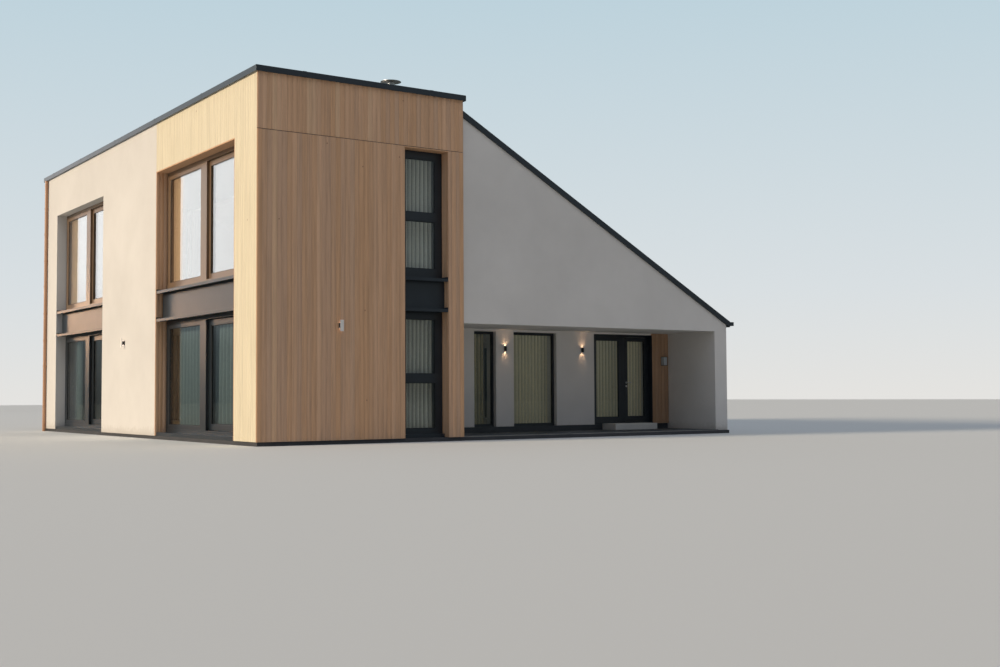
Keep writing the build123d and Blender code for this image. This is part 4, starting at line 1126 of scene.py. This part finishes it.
# %% Round solids
def tube(shape, centre, radius, low, high, inner=0.0, sides=40):
    """Adds an upright round solid, or a ring when it has an inner radius."""
    rings = [[shape.verts.new(Vector((centre[0] + r * cos(2 * pi * k / sides),
                                      centre[1] + r * sin(2 * pi * k / sides), z)))
              for k in range(sides)]
             for z in (low, high) for r in ((radius, inner) if inner else (radius,))]
    if inner:
        outer_low, inner_low, outer_high, inner_high = rings
        pairs = ((outer_low, outer_high), (inner_high, inner_low), (outer_high, inner_high),
                 (inner_low, outer_low))
    else:
        pairs = (rings,)
        shape.faces.new(list(reversed(rings[0])))
        shape.faces.new(rings[1])
    for a, b in pairs:
        for k in range(sides):
            shape.faces.new((a[k], a[(k + 1) % sides], b[(k + 1) % sides], b[k]))


def round_piece(name, material, parts, edge=0.0):
    """One piece made of upright round solids: centre, radius, low, high and inner radius."""
    shape = bmesh.new()
    for part in parts:
        tube(shape, *part)
    shade_smooth(shape, 40)
    piece = keep(name, as_mesh(shape, name, material))
    if edge:
        break_edges(piece, edge, 40)


# %% [markdown]
# ## Pipe sockets and clip bolts
#
# A rain pipe comes in lengths. Each ends in a socket, a little wider than the pipe, with a
# bead at its mouth, and two bolts close every clip.

# %% Sockets and bolts
PIPE_Y, PIPE_RADIUS = 15.32, 0.0445
left_pipe, right_pipe = place(-0.055, PIPE_Y, 0).xy, place(12.865, 15.2, 0).xy
sockets = [(left_pipe, 0.05, z, z + 0.07, PIPE_RADIUS) for z in (2.62, 4.2, 5.75, 7.2)]
sockets += [(left_pipe, 0.0505, z + 0.06, z + 0.072, PIPE_RADIUS) for z in (2.62, 4.2, 5.75)]
sockets += [(right_pipe, 0.05, z, z + 0.07, PIPE_RADIUS) for z in (1.2, 2.6)]
round_piece("pipe_sockets", pipe_coat, sockets, edge=0.0012)
slabs("clip_bolts", steel, [
    block((-0.0185, -0.0085), (y - 0.005, y + 0.005), (z + 0.015, z + 0.025))
    for z in (1.88, 3.43, 4.98, 6.53) for y in (PIPE_Y - 0.017, PIPE_Y + 0.017)], edge=0.001)
print("sockets", len(sockets))

# %% [markdown]
# ## Wall lights
#
# On the long faces a white plate stands off the wall on a dark bracket, and lenses above and
# below the bracket light the wall behind the plate. The lenses really shine, because a glow
# painted on the wall would not follow its boards.

# %% Front and side lights
def lens(name, code, strength):
    """A warm shining lens; it looks like a small bright spot even by day."""
    return finish(name, Base_Color="#fff4e4", Roughness=0.5, Emission_Color=code,
                  Emission_Strength=strength)[0]


warm_lens, spot_lens = lens("warm_lens", "#ffe2d4", 4.0), lens("spot_lens", "#ffcda0", 130.0)


def plate_light(name, axis, at, foot):
    """A white plate 90 mm off the wall, on a dark bracket with a lens above and below."""
    def part(half, near, far, low, high):
        along, away = (at - half, at + half), (-far, -near)
        return block(*((along, away) if axis == "x" else (away, along)), (low, high))
    low, high = foot + 0.067, foot + 0.163
    plate = slabs(name + "_plate", white_coat, [part(0.038, 0.068, 0.09, foot, foot + 0.23)], edge=0.004)
    slabs(name + "_bracket", black_coat, [part(0.028, 0.0, 0.069, low, high),
                                          part(0.032, 0.0, 0.006, low - 0.006, high + 0.006)], edge=0.002)
    slabs(name + "_lenses", warm_lens,
          [part(0.022, 0.014, 0.06, z - 0.0015, z + 0.0015) for z in (low, high)])
    return plate


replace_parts(plate_light("front_light", "x", 1.82, 2.29), "wall_lights")
plate_light("side_wall_light", "y", 8.11, 2.2)

# %% [markdown]
# In the porch a pair of small black cylinders throws light up and down the wall.

# %% Porch spots
SPOTS = (7.165, 9.49)
axes = [place(x, 1.864, 0).xy for x in SPOTS]
round_piece("porch_spots", black_coat, [(at, 0.032, 2.03, 2.14, 0.027) for at in axes], edge=0.0008)
round_piece("porch_spot_lenses", spot_lens, [(at, 0.0265, 2.075, 2.095) for at in axes])
slabs("porch_spot_plates", black_coat, [block((x - 0.022, x + 0.022), (PORCH_WALL - 0.007, PORCH_WALL),
                                              (2.045, 2.125)) for x in SPOTS], edge=0.001)
print("porch spots", len(axes))

# %% [markdown]
# The lantern by the door is a dark frame round a frosted pane. The frame has a roof and a
# foot plate, and four posts between them.

# %% Door lantern
(X0, X1), (Y0, Y1), (Z0, Z1) = (12.044, 12.196), (1.77, 1.86), (1.72, 1.95)
BAR = 0.012
bars = [block((X0, X1), (Y0, Y1), (z, z + BAR)) for z in (Z0, Z1 - BAR)]
bars += [block((x, x + BAR), (y, y + BAR), (Z0 + BAR, Z1 - BAR))
         for x in (X0, X1 - BAR) for y in (Y0, Y1 - BAR)]
slabs("door_lantern_frame", black_coat, bars, edge=0.001)
slabs("door_lantern_panes", frosted, [
    block((X0 + 0.006, X1 - 0.006), (Y0 + 0.006, Y1 - 0.004), (Z0 + BAR, Z1 - BAR))], edge=0.002)
print("lantern bars", len(bars))

# %% [markdown]
# ## Laps of the roof membrane
#
# The flat roof's membrane comes on rolls a metre wide. Each roll laps over the one before it,
# and the welded lap is a strip that stands 3 mm proud. A wider strip is turned up round the
# foot of the flue.

# %% Membrane laps
DECK = 7.1495
laps = [block((0.401, 4.399), (0.401 + k, 0.451 + k), (DECK, DECK + 0.0035)) for k in range(1, 15)]
slabs("membrane_laps", membrane, laps, edge=0.001)
round_piece("flue_flashing", membrane,
            [(place(4.01, 1.8, 0).xy, 0.24, DECK, DECK + 0.0065, 0.14)], edge=0.002)
print("laps", len(laps))

# %% [markdown]
# ## Chimney cap and pot
#
# The stack ends in a cast cap that throws water off, and in a clay pot, which is hollow.

# %% Chimney cap
low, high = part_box("chimney_cap")
middle = ((low + high) / 2).xy
cap = slabs("chimney_cap_stone", cast_concrete, [(low, Vector((high.x, high.y, low.z + 0.09)))], edge=0.02)
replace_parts(cap, "chimney_cap")
round_piece("chimney_pot", fired_clay, [(middle, 0.12, low.z + 0.088, high.z, 0.1),
                                        (middle, 0.13, high.z - 0.04, high.z, 0.1)], edge=0.003)
print("chimney pot", round(high.z - low.z - 0.088, 3), "m high")

# %% [markdown]
# ## Door furniture
#
# The entrance leaf has a lever handle on a rose and a lock rose below it, in brushed steel.

# %% Handles
HANDLE_X, LEVER_Z, LOCK_Z, LEAF_DEPTH = 10.99, 1.28, 1.19, 0.06
ROSE, ROD, NECK = (0.026, 0.008), 0.009, 0.055      # radius and thickness, radius, reach


def lever(name, side):
    """A lever on a rose; side -1 is outside and 1 inside."""
    face = DOOR_FACE if side < 0 else DOOR_FACE + LEAF_DEPTH
    shape = bmesh.new()

    def rod(radius, length, sides, x, y, z, axis):
        made = bmesh.ops.create_cone(shape, cap_ends=True, segments=sides, radius1=radius, radius2=radius,
                                     depth=length)["verts"]
        spot = Matrix.Translation(place(x, y, z)) @ Matrix.Rotation(pi / 2, 4, axis)
        bmesh.ops.transform(shape, matrix=spot, verts=made)

    for z, radius, reach in ((LEVER_Z, *ROSE), (LOCK_Z, *ROSE), (LEVER_Z, ROD, NECK)):
        rod(radius, reach, 28, HANDLE_X, face + side * reach / 2, z, "X")
    rod(ROD, 0.13, 24, HANDLE_X + 0.056, face + side * NECK, LEVER_Z, "Y")
    for surface in shape.faces:
        surface.smooth = len(surface.verts) == 4
    keep(name, as_mesh(shape, name, steel), "entrance_door")


lever("entrance_lever_outside", -1)
lever("entrance_lever_inside", 1)

# %% Finish
scene.view_settings.view_transform = "Standard"
